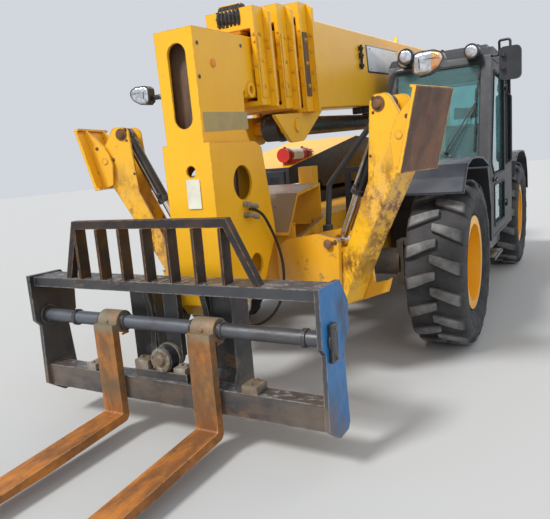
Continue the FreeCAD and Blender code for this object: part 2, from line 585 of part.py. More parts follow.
def collar(name, order, front):
    """The reinforced mouth of a section: a sleeve with wear pads and a wide flange behind it."""
    half = "boom_half - %d * section_step" % order
    low = "-boom_low + %d * section_drop" % order
    high = "boom_high - %d * section_top_drop" % order
    top = "collar_top - %d * collar_top_drop" % order
    ring = [("-(%s) - 20" % half, low + " - 20"), (half + " + 20", low + " - 20"),
            (half + " + 20", top), ("-(%s) - 20" % half, top)]
    hole = [("-(%s) + boom_wall" % half, low + " + boom_wall"), (half + " - boom_wall", low + " + boom_wall"),
            (half + " - boom_wall", high + " - boom_wall"), ("-(%s) + boom_wall" % half, high + " - boom_wall")]
    sleeve = prism(name + "_sleeve", "XZ", "-(%s)" % front, "collar_long", ring, inner=hole)
    wide = [("-(%s) - collar_flange" % half, low + " - 30"), (half + " + collar_flange", low + " - 30"),
            (half + " + collar_flange", top + " - 30"), (half + " + 20", top),
            ("-(%s) - 20" % half, top), ("-(%s) - collar_flange" % half, top + " - 30")]
    flange = prism(name + "_flange", "XZ", "-(%s) + collar_long" % front, "30", wide, inner=hole)
    pads = []
    inside = half + " - boom_wall"
    gap = "section_step - boom_wall - 0.4"
    for side in ("1", "-1"):
        pads.append(prism("%s_pad%s" % (name, side.replace("-", "n")), "XZ", "-(%s) + 15" % front, "80",
                          [("%s * (%s)" % (side, inside), "0"), ("%s * (%s - (%s))" % (side, inside, gap), "0"),
                           ("%s * (%s - (%s))" % (side, inside, gap), "90"), ("%s * (%s)" % (side, inside), "90")]))
    drop = "section_drop - boom_wall - 0.4"
    for label, edge, sign in (("low", low + " + boom_wall", "+"), ("high", high + " - boom_wall", "-")):
        pads.append(prism("%s_pad_%s" % (name, label), "XZ", "-(%s) + 15" % front, "80",
                          [("-60", edge), ("60", edge), ("60", "%s %s (%s)" % (edge, sign, drop)),
                           ("-60", "%s %s (%s)" % (edge, sign, drop))]))
    return [sleeve, flange] + pads


def boom():
    """Four nested sections. Each is built along its own frame and then laid at the boom's rise."""
    front = "boom_front + collar_long"
    names = ("boom_outer", "boom_second", "boom_third", "boom_inner")
    for order, name in enumerate(names):
        reach = "%s + %d * collar_pitch" % (front, order)
        back = "-boom_tail" if order == 0 else "300 + %d * 40" % order
        parts = [section(name + "_tube", order, reach if order < 3 else reach + " - 150", back)]
        if order < 3:
            parts += collar(name, order, reach)
        if order == 0:
            parts += boom_lugs()
            boss = rod("pivot_boss", "X", "pivot_pin + 45", "-rail_half + rail_thick + 5", "0", "0",
                       "2 * (rail_half - rail_thick - 5)")
            pin = rod("pivot_shaft", "X", "pivot_pin", "-rail_half - 15", "0", "0", "2 * rail_half + 30")
            parts += [boss, pin]
        if order == 2:
            deck = "boom_high - 2 * section_top_drop"
            parts.append(rod("hose_roller", "X", "60", "-100", "-(%s) + 60" % reach, deck + " + 66", "165"))
            for wing, side in enumerate(("-115", "65")):
                parts.append(prism("roller_bracket%d" % wing, "YZ", side, "15",
                                   [("-(%s) + 180" % reach, deck + " - 5"), ("-(%s) + 180" % reach, deck + " + 40"),
                                    ("-(%s) + 90" % reach, deck + " + 112"), ("-(%s) + 30" % reach, deck + " + 112"),
                                    ("-(%s) + 12" % reach, deck + " + 66"), ("-(%s) + 30" % reach, deck + " - 5")]))
        whole = fused(name + "_solid", parts)
        turn(whole, "X", "boom_rise")
        set_place(whole, "0", "pivot_y", "pivot_height")
        if order == 3:
            whole = cut(name + "_end", whole, [nose_block()])
        keep(name, whole)


def boom_lugs():
    """Two rounded plates under the outer section that hold the front eye of the lift ram.

    Their outline is drawn in the boom's frame round the eye's place there.
    """
    along = "((eye_y - pivot_y) * cos(boom_rise) + (lift_eye_height - pivot_height) * sin(boom_rise))"
    up = "((lift_eye_height - pivot_height) * cos(boom_rise) - (eye_y - pivot_y) * sin(boom_rise))"
    outline = [(along + " - 300", "-boom_low - 32"), (along + " - 100", up + " - 110"),
               (along + " + 90", up + " - 110"), (along + " + 450", "-boom_low - 12"),
               (along + " + 450", "-boom_low + 5"), (along + " + 70", "-boom_low + 5"),
               (along + " + 70", "-boom_low - 22"), (along + " - 300", "-boom_low - 22")]
    lug = prism("lift_lug", "YZ", "lug_half", "lug_plate", outline, round_corners=[((1, 2), "100")])
    pin = rod("lift_lug_pin", "X", "pivot_pin - running_gap", "-lug_half - lug_plate - 12", along, up,
              "2 * (lug_half + lug_plate + 12)")
    return [lug, mirrored("lift_lug_right", lug), pin]


def lift_ram():
    """The long ram under the boom, its barrel at the front and its rod at the towers."""
    angle = "-atan2(ram_foot_y - eye_y; ram_foot_height - lift_eye_height) / 1deg"
    eye = cut("lift_eye_ring", rod("lift_eye", "X", "95", "-60", "0", "0", "120"),
              [rod("lift_eye_hole", "X", "pivot_pin", "-60", "0", "0", "120")])
    barrel = cut("lift_tube", rod("lift_tube_out", "Z", "lift_radius", "0", "0", "80", "lift_barrel_long - 80"),
                 [rod("lift_tube_in", "Z", "lift_rod_radius + running_gap", "0", "0", "200", "lift_barrel_long")])
    barrel = fused("lift_barrel_solid", [eye, barrel])
    turn(barrel, "X", angle)
    set_place(barrel, "0", "eye_y", "lift_eye_height")
    keep("lift_barrel", barrel)
    shank = rod("lift_shank", "Z", "lift_rod_radius", "0", "0", "1900", "lift_long - 1900 - 70")
    eye = cut("lift_rod_ring", rod("lift_rod_eye", "X", "90", "-55", "0", "lift_long", "110"),
              [rod("lift_rod_hole", "X", "pivot_pin + 1", "-55", "0", "lift_long", "110")])
    piston = fused("lift_rod_solid", [shank, eye])
    turn(piston, "X", angle)
    set_place(piston, "0", "eye_y", "lift_eye_height")
    keep("lift_rod", piston)


def nose_block():
    """The outer form of the boom head: narrow above and wider below."""
    neck = "pivot_height - 710"
    upper = [("front_axle - nose_front - 15", "pivot_height - 120"), ("front_axle - 1220", "pivot_height - 94"),
             ("front_axle - 1205", "pivot_height - 347"), ("front_axle - 1326", "pivot_height - 420"),
             ("front_axle - 1335", "pivot_height - 644"), ("front_axle - 1300", neck),
             ("front_axle - nose_front", neck)]
    lower = [("front_axle - nose_front", neck), ("front_axle - 1300", neck), ("front_axle - 1227", neck + " - 36"),
             ("front_axle - 1140", "tilt_height + 424"), ("front_axle - 1132", "tilt_height + 337"),
             ("front_axle - 1192", "tilt_height + 239"), ("front_axle - 1307", "tilt_height + 64"),
             ("front_axle - 1620", "tilt_height - 72"), ("front_axle - 1700", "tilt_height - 72"),
             ("front_axle - nose_front + 12", "tilt_height + 8")]
    parts = [prism("nose_upper", "YZ", "-nose_half", "2 * nose_half", upper),
             prism("nose_lower", "YZ", "-nose_low_half", "2 * nose_low_half", lower,
                   round_corners=[((7, 8), "35")])]
    boss = rod("nose_boss", "X", "46", "-nose_half - 12", "front_axle - 1250", "pivot_height - 405",
               "2 * nose_half + 24")
    return fused("nose_block", parts + [boss])


def nose():
    """The tall boom head: a hollow box with a slot, side holes and the pin hole of the carriage."""
    tools = [block("nose_hollow_high", "-nose_half + nose_wall", "nose_half - nose_wall",
                   "front_axle - nose_front - 15 + nose_wall + 5", "front_axle - 1335 - nose_wall",
                   "pivot_height - 695", "pivot_height - 140"),
             block("nose_hollow_low", "-nose_low_half + nose_wall", "nose_low_half - nose_wall",
                   "front_axle - nose_front + nose_wall", "front_axle - 1260 - nose_wall", "tilt_height + 88",
                   "pivot_height - 725"),
             prism("nose_slot", "XZ", "front_axle - nose_front - 55", "130",
                   [("-50", "pivot_height - 630"), ("70", "pivot_height - 630"), ("70", "pivot_height - 190"),
                    ("-50", "pivot_height - 190")], round_corners=[((0, 1, 2, 3), "58")]),
             rod("nose_boss_hole", "X", "22", "-nose_half - 20", "front_axle - 1250", "pivot_height - 405",
                 "2 * nose_half + 40"),
             rod("nose_window", "X", "100", "-nose_low_half - 5", "front_axle - 1474", "1355",
                 "2 * nose_low_half + 10"),
             rod("nose_port", "X", "70", "-nose_low_half - 5", "front_axle - 1390", "853",
                 "2 * nose_low_half + 10"),
             rod("nose_front_port", "Y", "32", "20", "front_axle - 1800", "1440", "60"),
             rod("nose_pin_hole", "X", "30", "-nose_low_half - 5", "tilt_y", "tilt_height",
                 "2 * nose_low_half + 10")]
    keep("boom_nose", cut("nose_solid", doc.getObject("nose_block"), tools))


def carriage():
    """The fork carriage: end plates, a flat top bar, a low square bar, a shaft and a load rest."""
    outline = [("front_axle - 2158", "bar_top + 12"), ("front_axle - 1925", "bar_top + 5"),
               ("front_axle - 1838", "785"), ("front_axle - 1850", "640"), ("front_axle - 1920", "566"),
               ("front_axle - 1892", "185"), ("front_axle - 1918", "158"), ("front_axle - 2018", "158"),
               ("front_axle - 2133", "240"), ("front_axle - 2120", "600"), ("front_axle - 2158", "640")]
    parts = []
    for hand, start in (("left", "carriage_left - plate_thick"), ("right", "-carriage_right")):
        parts.append(prism("end_plate_" + hand, "YZ", start, "plate_thick", outline,
                           round_corners=[((6,), "14"), ((2,), "40")]))
    across = ("-carriage_right + plate_thick", "carriage_left - plate_thick")
    parts.append(block("top_bar", *across, "front_axle - 2125", "front_axle - 1960", "bar_low", "bar_top"))
    low_y = "front_axle - low_bar_front"
    parts.append(block("low_bar", *across, low_y, low_y + " + low_bar_deep", "low_bar_low", "low_bar_high"))
    upright = prism("back_post", "YZ", "nose_low_half + 6", "174",
                    [(low_y + " + low_bar_deep - 10", "low_bar_low"), ("front_axle - 1818", "low_bar_low + 20"),
                     ("front_axle - 1818", "bar_low - 20"), ("front_axle - 1900", "bar_low + 5"),
                     ("front_axle - 1978", "bar_low + 5"), ("front_axle - 1978", "low_bar_high + 60"),
                     (low_y + " + low_bar_deep - 10", "low_bar_high")])
    parts += [upright, mirrored("back_post_right", upright)]
    parts.append(block("lever_strut", "-80", "15", "front_axle - 2005", "front_axle - 1965", "low_bar_high + 110",
                       "bar_low + 10"))
    parts.append(rod("lever_hub", "Y", "70", "-67", "front_axle - 2085", "low_bar_high + 112", "120"))
    parts.append(block("lever_base", "-262", "95", low_y + " + 16", low_y + " + low_bar_deep + 20",
                       "low_bar_high - 10", "low_bar_high + 48"))
    post = prism("mount_post", "YZ", "175", "35",
                 [(low_y + " + low_bar_deep - 10", "low_bar_low"), ("tilt_y + 10", "tilt_height - 75"),
                  ("tilt_y + 70", "tilt_height - 40"), ("tilt_y + 70", "tilt_height + 40"),
                  ("tilt_y + 10", "tilt_height + 75"), ("front_axle - 1960", "bar_top"),
                  ("front_axle - 2040", "bar_top"), ("front_axle - 2000", "shaft_height + 70"),
                  ("front_axle - 1985", "shaft_height - 70"), (low_y + " + low_bar_deep - 10", "low_bar_high")],
                 round_corners=[((2, 3), "40")])
    parts += [post, mirrored("mount_post_right", post)]
    parts.append(rod("tilt_pin", "X", "30 - running_gap", "-225", "tilt_y", "tilt_height", "450"))
    shaft = rod("fork_shaft_bar", "X", "shaft_radius", across[0], "shaft_y", "shaft_height",
                "carriage_left + carriage_right - 2 * plate_thick")
    keep("carriage_frame", fused("carriage_solid", parts))
    keep("fork_shaft", shaft)
    bars = [block("rest_top", "-560", "420", "front_axle - 2110", "front_axle - 2065", "rest_high - rest_bar",
                  "rest_high")]
    for order in range(7):
        x0 = "-560 + %d * 160" % order
        bars.append(block("rest_bar%d" % order, x0, x0 + " + 16", "front_axle - 2125", "front_axle - 2050",
                          "bar_top", "rest_high - rest_bar"))
    for name, foot, top in (("rest_brace_right", "-680", "-560"), ("rest_brace_left", "560", "420")):
        bars.append(prism(name, "XZ", "front_axle - 2110", "45",
                          [(foot, "bar_top"), (foot + " + 40", "bar_top"), (top + " + 20", "rest_high"),
                           (top + " - 20", "rest_high")]))
    keep("load_rest", fused("load_rest_solid", bars))


def forks():
    """Two forks that hang from the shaft, with upright shanks and tapering tines."""
    up = "shaft_height"
    for hand, side in (("left", "fork_left_side"), ("right", "-fork_right_side")):
        long = "(fork_reach - heel_front)"
        side_view = [("heel_y", "heel_height - fork_thick"), ("heel_y + fork_thick - 2", "heel_height - fork_thick"),
                     ("heel_y + fork_thick - 2", up + " - 30"), ("heel_y + fork_thick - 2", up),
                     ("heel_y", up), ("heel_y", "heel_height"),
                     ("heel_y - " + long, "heel_height - (%s) * tan(fork_pitch)" % long),
                     ("heel_y - " + long, "heel_height - 14 - (%s) * tan(fork_pitch)" % long),
                     ("heel_y - 500", "heel_height - fork_thick - 500 * sin(fork_pitch)")]
        tine = prism("tine_" + hand, "YZ", "%s - fork_width / 2" % side, "fork_width", side_view,
                     round_corners=[((1,), "40"), ((5,), "12")])
        boss = rod("fork_boss_" + hand, "X", "fork_boss", "%s - fork_width / 2" % side, "shaft_y", up, "fork_width")
        bore = rod("fork_bore_" + hand, "X", "shaft_radius + 0.1", "%s - fork_width / 2 - 1" % side, "shaft_y", up,
                   "fork_width + 2")
        keep("fork_" + hand, cut("fork_solid_" + hand, fused("fork_blank_" + hand, [tine, boss]), [bore]))


CAB_SIDE = [("front_axle + 800", "cab_low"), ("front_axle + cab_back", "cab_low"),
            ("front_axle + cab_back", "1300"), ("front_axle + cab_back - 50", "cab_roof - 60"),
            ("front_axle + cab_back - 130", "cab_roof"), ("front_axle + 960", "cab_roof"),
            ("front_axle + 850", "cab_roof - 70"), ("front_axle + 620", "1260"), ("front_axle + 790", "920")]
CAB_ROOM = [("front_axle + 850", "cab_low + cab_wall"), ("front_axle + cab_back - cab_wall", "cab_low + cab_wall"),
            ("front_axle + cab_back - cab_wall", "1300"),
            ("front_axle + cab_back - cab_wall - 50", "cab_roof - cab_wall - 50"),
            ("front_axle + cab_back - cab_wall - 130", "cab_roof - cab_wall"),
            ("front_axle + 980", "cab_roof - cab_wall"),
            ("front_axle + 905", "cab_roof - cab_wall - 45"), ("front_axle + 675", "1275"),
            ("front_axle + 840", "940")]
DOOR = [("front_axle + 900", "cab_low + 30"), ("hinge_y", "cab_low + 30"), ("hinge_y", "cab_roof - 110"),
        ("front_axle + 940", "cab_roof - 110"), ("front_axle + 745", "1270"), ("front_axle + 900", "960")]


def shrunk(outline, amounts):
    """An outline with each corner moved by a pair of amounts."""
    return [("%s + (%s)" % (a, da), "%s + (%s)" % (b, db)) for (a, b), (da, db) in zip(outline, amounts)]


def cab():
    """A hollow cab: walls with windows cut, panes seated in them, and a hinged door."""
    shell = prism("cab_shell", "YZ", "cab_in", "cab_out - cab_in", CAB_SIDE, round_corners=[((3, 4, 5, 6), "40")])
    room = prism("cab_room", "YZ", "cab_in + cab_wall", "cab_out - cab_in - 2 * cab_wall", CAB_ROOM)
    gap = "working_gap"
    door_gap = shrunk(DOOR, [("-" + gap, "-" + gap), (gap, "-" + gap), (gap, gap), ("-" + gap, gap),
                             ("-" + gap, "0"), ("-" + gap, "0")])
    doorway = prism("doorway", "YZ", "cab_out - cab_wall - 5", "cab_wall + 10", door_gap)
    side = prism("side_window", "YZ", "cab_in - 5", "cab_wall + 10",
                 [("front_axle + 800", "1250"), ("front_axle + cab_back - 130", "1250"),
                  ("front_axle + cab_back - 150", "cab_roof - 140"), ("front_axle + 970", "cab_roof - 140")],
                 round_corners=[((0, 1, 2, 3), "40")])
    quarter = prism("quarter_window", "YZ", "cab_out - cab_wall - 5", "cab_wall + 10",
                    [("hinge_y + 90", "1250"), ("front_axle + cab_back - 130", "1250"),
                     ("front_axle + cab_back - 150", "cab_roof - 140"), ("hinge_y + 90", "cab_roof - 140")],
                    round_corners=[((0, 1, 2, 3), "40")])
    screen = block("screen_window", "cab_in + pillar", "cab_out - pillar", "front_axle + 600", "front_axle + 900",
                   "1330", "cab_roof - 130")
    rear = block("rear_window", "cab_in + pillar + 30", "cab_out - pillar - 30", "front_axle + cab_back - 120",
                 "front_axle + cab_back + 10", "1320", "cab_roof - 150")
    shell = cut("cab_cut", shell, [room, doorway, side, quarter, screen, rear])
    hinges = []
    for order, low in enumerate(("850", "1950")):
        hinges += [block("frame_leaf%d" % order, "cab_out", "cab_out + 10", "hinge_y + 4", "hinge_y + 70", low,
                         low + " + 30"),
                   rod("frame_knuckle%d" % order, "Z", "14", "hinge_x", "hinge_y + 4", low, "30"),
                   rod("hinge_pin%d" % order, "Z", "8 - running_gap", "hinge_x", "hinge_y + 4", low, "70")]
    keep("cab_frame", fused("cab_with_hinges", [shell] + hinges))
    screen_glass = prism("screen_glass", "YZ", "cab_in + pillar + 0.3", "cab_out - cab_in - 2 * pillar - 0.6",
                         [("front_axle + 662", "1331"), ("front_axle + 668", "1331"),
                          ("front_axle + 858", "cab_roof - 131"), ("front_axle + 852", "cab_roof - 131")])
    side_glass = prism("side_glass", "YZ", "cab_in + 22", "glass_thick",
                       [("front_axle + 800", "1250"), ("front_axle + cab_back - 130", "1250"),
                        ("front_axle + cab_back - 150", "cab_roof - 140"), ("front_axle + 970", "cab_roof - 140")],
                       round_corners=[((0, 1, 2, 3), "40")])
    quarter_glass = prism("quarter_glass", "YZ", "cab_out - 28", "glass_thick",
                          [("hinge_y + 90", "1250"), ("front_axle + cab_back - 130", "1250"),
                           ("front_axle + cab_back - 150", "cab_roof - 140"), ("hinge_y + 90", "cab_roof - 140")],
                          round_corners=[((0, 1, 2, 3), "40")])
    rear_glass = block("rear_glass", "cab_in + pillar + 30", "cab_out - pillar - 30",
                       "front_axle + cab_back - 44", "front_axle + cab_back - 38", "1320", "cab_roof - 150")
    keep("cab_glass", fused("cab_glass_panes", [screen_glass, side_glass, quarter_glass, rear_glass]))
    keep("cab_roof", prism("roof_cap", "YZ", "cab_in + 60", "cab_out - cab_in - 120",
                           [("front_axle + 1010", "cab_roof + 0.3"), ("front_axle + cab_back - 180", "cab_roof + 0.3"),
                            ("front_axle + cab_back - 230", "cab_roof + 38"), ("front_axle + 1060", "cab_roof + 38")]))
    door = prism("door_frame", "YZ", "cab_out - door_thick", "door_thick", DOOR)
    pane = shrunk(DOOR, [("pillar", "520"), ("-pillar", "520"), ("-pillar", "-pillar"), ("pillar", "-pillar"),
                         ("pillar", "30"), ("pillar", "230")])[1:]
    hole = prism("door_window", "YZ", "cab_out - door_thick - 5", "door_thick + 10", pane)
    low_hole = prism("door_low_window", "YZ", "cab_out - door_thick - 5", "door_thick + 10",
                     [("front_axle + 970", "cab_low + 100"), ("hinge_y - pillar", "cab_low + 100"),
                      ("hinge_y - pillar", "cab_low + 480"), ("front_axle + 970", "cab_low + 480")])
    lugs = []
    for order, low in enumerate(("850", "1950")):
        leaf = block("door_leaf%d" % order, "cab_out", "cab_out + 10", "hinge_y - 60", "hinge_y + 4", low + " + 32",
                     low + " + 62")
        lugs.append(fused("door_lug%d" % order, [leaf, rod("door_knuckle%d" % order, "Z", "14", "hinge_x", "hinge_y + 4",
                                                          low + " + 32", "30")]))
    bores = [rod("door_bore%d" % order, "Z", "8", "hinge_x", "hinge_y + 4", low, "100")
             for order, low in enumerate(("850", "1950"))]
    keep("cab_door", cut("door_cut", fused("door_with_lugs", [door] + lugs), [hole, low_hole] + bores))
    keep("door_glass", fused("door_panes", [
        prism("door_pane_high", "YZ", "cab_out - 24", "glass_thick", pane),
        prism("door_pane_low", "YZ", "cab_out - 24", "glass_thick",
              [("front_axle + 970", "cab_low + 100"), ("hinge_y - pillar", "cab_low + 100"),
               ("hinge_y - pillar", "cab_low + 480"), ("front_axle + 970", "cab_low + 480")])]))


def cab_inside():
    """Seat on its box, dash with its column, and the steering wheel."""
    floor = "cab_low + cab_wall"
    middle = "(cab_in + cab_out) / 2"
    seat = [block("seat_box", middle + " - 190", middle + " + 190", "front_axle + 1560", "front_axle + 2000", floor,
                  floor + " + 330"),
            block("seat_base", middle + " - 240", middle + " + 240", "front_axle + 1500", "front_axle + 2010",
                  floor + " + 330", floor + " + 450")]
    back = prism("seat_back", "YZ", middle + " - 230", "460",
                 [("front_axle + 1910", floor + " + 450"), ("front_axle + 2010", floor + " + 450"),
                  ("front_axle + 2120", floor + " + 1020"), ("front_axle + 2040", floor + " + 1020")])
    head = prism("head_rest", "YZ", middle + " - 140", "280",
                 [("front_axle + 2046", floor + " + 1020"), ("front_axle + 2116", floor + " + 1020"),
                  ("front_axle + 2140", floor + " + 1200"), ("front_axle + 2075", floor + " + 1200")])
    keep("cab_seat", fused("seat_solid", seat + [back, head]))
    dash = prism("dash", "YZ", "cab_in + cab_wall", "cab_out - cab_in - 2 * cab_wall - 70",
                 [("front_axle + 850", floor), ("front_axle + 930", floor), ("front_axle + 1060", "980"),
                  ("front_axle + 1060", "1040"), ("front_axle + 960", "1200"), ("front_axle + 900", "1260"),
                  ("front_axle + 690", "1260"), ("front_axle + 850", "960")])
    reach = "(steer_height - 1010) / cos(column_lean)"
    shaft = rod("column_tube", "Z", "40", "0", "0", "-" + reach, reach + " - 25")
    column = fused("column", [shaft, rod("column_shaft", "Z", "12", "0", "0", "-30", "40")])
    turn(column, "X", "-column_lean")
    set_place(column, middle, "steer_y", "steer_height")
    keep("cab_dash", fused("dash_solid", [dash, column]))
    ring = doc.addObject("Part::Torus", "wheel_ring")
    ring.Radius1 = 175
    ring.Radius2 = 14
    spokes = [rod("wheel_hub", "Z", "38", "0", "0", "-20", "35"),
              block("wheel_spoke", "-175", "175", "-14", "14", "-6", "6")]
    wheel = cut("wheel_bored", fused("wheel_solid", [ring] + spokes),
                [rod("wheel_bore", "Z", "12 + running_gap", "0", "0", "-30", "60")])
    turn(wheel, "X", "-column_lean")
    set_place(wheel, middle, "steer_y", "steer_height")
    keep("steering_wheel", wheel)


def engine_side():
    """The engine, its hinged bonnet, the tank with its steps and the counterweight."""
    keep("engine_block", fused("engine_solid", [
        block("engine_core", "-1020", "-rail_half - 100", "front_axle + 950", "front_axle + 2150", "600", "1130"),
        block("engine_mounts", "-rail_half - 100", "-rail_half", "front_axle + 1150", "front_axle + 1950", "700",
              "800")]))
    outline = [("front_axle + 95", "1250"), ("front_axle + 105", "1396"), ("front_axle + 920", "1526"),
               ("front_axle + 1780", "1664"), ("front_axle + 2270", "1640"), ("front_axle + 2310", "1560"),
               ("front_axle + 2310", "1180"), ("front_axle + 840", "1180"), ("front_axle + 760", "1250")]
    hood = prism("hood", "YZ", "-bonnet_out", "bonnet_out - bonnet_in", outline, round_corners=[((3, 4, 5), "60")])
    hollow = [("front_axle + 95 + bonnet_wall", "1100"), ("front_axle + 105 + bonnet_wall", "1396 - bonnet_wall"),
              ("front_axle + 920", "1526 - bonnet_wall"), ("front_axle + 1780", "1664 - bonnet_wall"),
              ("front_axle + 2270 - bonnet_wall", "1640 - bonnet_wall"),
              ("front_axle + 2310 - bonnet_wall", "1560 - bonnet_wall"),
              ("front_axle + 2310 - bonnet_wall", "1100")]
    room = prism("hood_room", "YZ", "-bonnet_out + bonnet_wall", "bonnet_out - bonnet_in - 2 * bonnet_wall", hollow)
    hooks = []
    trays = [block("tray_floor", "-1140", "-rail_half", "front_axle + 900", "front_axle + 2330", "540", "560"),
             block("tray_side", "-1150", "-1130", "front_axle + 900", "front_axle + 2330", "540", "1165"),
             block("tray_back", "-1150", "-340", "front_axle + 2316", "front_axle + 2330", "540", "1480"),
             block("tray_foot", "-340", "-rail_half", "front_axle + 2316", "front_axle + 2330", "540", "1000")]
    for order, side in enumerate(("-980", "-520")):
        hooks += [block("hood_hook%d" % order, side, side + " + 30", "front_axle + 2300", "bonnet_y",
                        "bonnet_hinge_height - 18", "bonnet_hinge_height + 18"),
                  rod("hood_eye%d" % order, "X", "18", side, "bonnet_y", "bonnet_hinge_height", "30")]
        for wing, shift in enumerate(("-21", "31")):
            trays.append(block("tray_ear%d%d" % (order, wing), side + " + " + shift, side + " + 20 + " + shift,
                               "front_axle + 2318", "front_axle + 2356", "1470", "bonnet_hinge_height + 14"))
        trays.append(rod("tray_pin%d" % order, "X", "10 - running_gap", side + " - 21", "bonnet_y",
                         "bonnet_hinge_height", "72"))
    bores = [rod("hood_bore%d" % order, "X", "10", side + " - 5", "bonnet_y", "bonnet_hinge_height", "40")
             for order, side in enumerate(("-980", "-520"))]
    hood = cut("bonnet_cut", hood, [room])
    keep("engine_bonnet", cut("bonnet_bored", fused("bonnet_with_hooks", [hood] + hooks), bores))
    keep("engine_tray", fused("tray_solid", trays))
    bottle = rod("bottle", "Y", "62", "-430", "front_axle + 170", "1500", "470")
    neck = rod("bottle_neck", "Y", "20", "-430", "front_axle + 640", "1500", "90")
    cradle = block("bottle_cradle", "-480", "-380", "front_axle + 250", "front_axle + 560", "1400", "1470")
    bottle_set = cut("bottle_cut", fused("bottle_whole", [bottle, neck, cradle]), [
        prism("bottle_trim", "YZ", "-600", "400", [("front_axle + 95", "1200"), ("front_axle + 105", "1396.3"),
                                                   ("front_axle + 920", "1526.3"), ("front_axle + 920", "1200")])])
    keep("fire_bottle", bottle_set)
    tank = [block("tank_body", "rail_half + 100", "1080", "front_axle + 900", "front_axle + 2220", "430",
                  "cab_low - 20"),
            block("tank_bracket", "rail_half", "rail_half + 100", "front_axle + 1100", "front_axle + 1200", "500",
                  "600"),
            block("tank_bracket_back", "rail_half", "rail_half + 100", "front_axle + 1900", "front_axle + 2000",
                  "500", "600"),
            block("cab_mount", "rail_half", "1000", "front_axle + 1250", "front_axle + 1350", "cab_low - 60",
                  "cab_low"),
            block("cab_mount_back", "rail_half", "1000", "front_axle + 1950", "front_axle + 2050", "cab_low - 60",
                  "cab_low"),
            block("step_tread", "1080", "1200", "front_axle + 1000", "front_axle + 1500", "430", "455")]
    keep("side_tank", fused("tank_solid", tank))
    weight = prism("weight", "YZ", "-630", "1260",
                   [("rear_end - 260", "560"), ("rear_end - 60", "560"), ("rear_end", "620"), ("rear_end", "1180"),
                    ("rear_end - 80", "1280"), ("rear_end - 260", "1280")],
                   round_corners=[((1, 2, 3, 4), "40")])
    pockets = [block("lamp_pocket%d" % order, low, high, "rear_end - 45", "rear_end + 5", "1015", "1145")
               for order, (low, high) in enumerate((("-615", "-475"), ("475", "615")))]
    keep("counterweight", cut("weight_cut", weight, pockets))


def fenders():
    """Curved bands over the wheels with brackets to the chassis."""
    def band(name, axle, points, side0, side1):
        outer = [(axle + " + (%s)" % a, str(b)) for a, b in points]
        inner = [(axle + " + (%s)" % a, "%s - fender_thick" % b) for a, b in reversed(points)]
        return prism(name, "YZ", side0, "%s - (%s)" % (side1, side0), outer + inner)
    front_points = [(-470, 1175), (-400, 1265), (-320, 1350), (-150, 1385), (60, 1385)]
    left_points = front_points + [(300, 1372), (540, 1320), (600, 1300)]
    left = band("fender_front_left", "front_axle", left_points, "fender_in", "fender_out")
    right = band("fender_front_right", "front_axle", front_points, "-fender_out", "-fender_in")
    stay = block("fender_stay", "rail_half", "fender_in + 200", "front_axle - 160", "front_axle - 120",
                 "1385 - fender_thick - 40", "1385 - fender_thick")
    post = block("fender_post", "rail_half", "rail_half + 40", "front_axle - 160", "front_axle - 120", "rail_top - 80",
                 "1385 - fender_thick")
    keep("front_fenders", fused("front_fender_pair", [left, right, stay, post, mirrored("fender_stay_right", stay),
                                                      mirrored("fender_post_right", post)]))
    rear_points = [(-700, 1100), (-560, 1255), (-350, 1345), (0, 1360), (350, 1345), (640, 1240), (800, 1050),
                   (850, 860)]
    rear = band("fender_rear_left", "rear_axle", rear_points, "fender_in", "fender_out")
    stay = block("rear_stay", "rail_half", "fender_in + 200", "rear_axle - 20", "rear_axle + 20",
                 "1360 - fender_thick - 40", "1360 - fender_thick")
    keep("rear_fenders", fused("rear_fender_pair", [rear, mirrored("fender_rear_right", rear), stay,
                                                    mirrored("rear_stay_right", stay)]))


def lamp_outline(sign, side, high):
    """The headlamp seen from the front: square on its inner side, cut back under its outer side."""
    return [("%s * (%s + (%s))" % (sign, side, a), "%s + (%s)" % (high, b)) for a, b in
            (("-lamp_half", "-48"), ("-lamp_half", "48"), ("-62", "68"), ("34", "70"), ("80", "50"),
             ("lamp_half", "16"), ("66", "-28"), ("0", "-64"), ("-60", "-70"))]


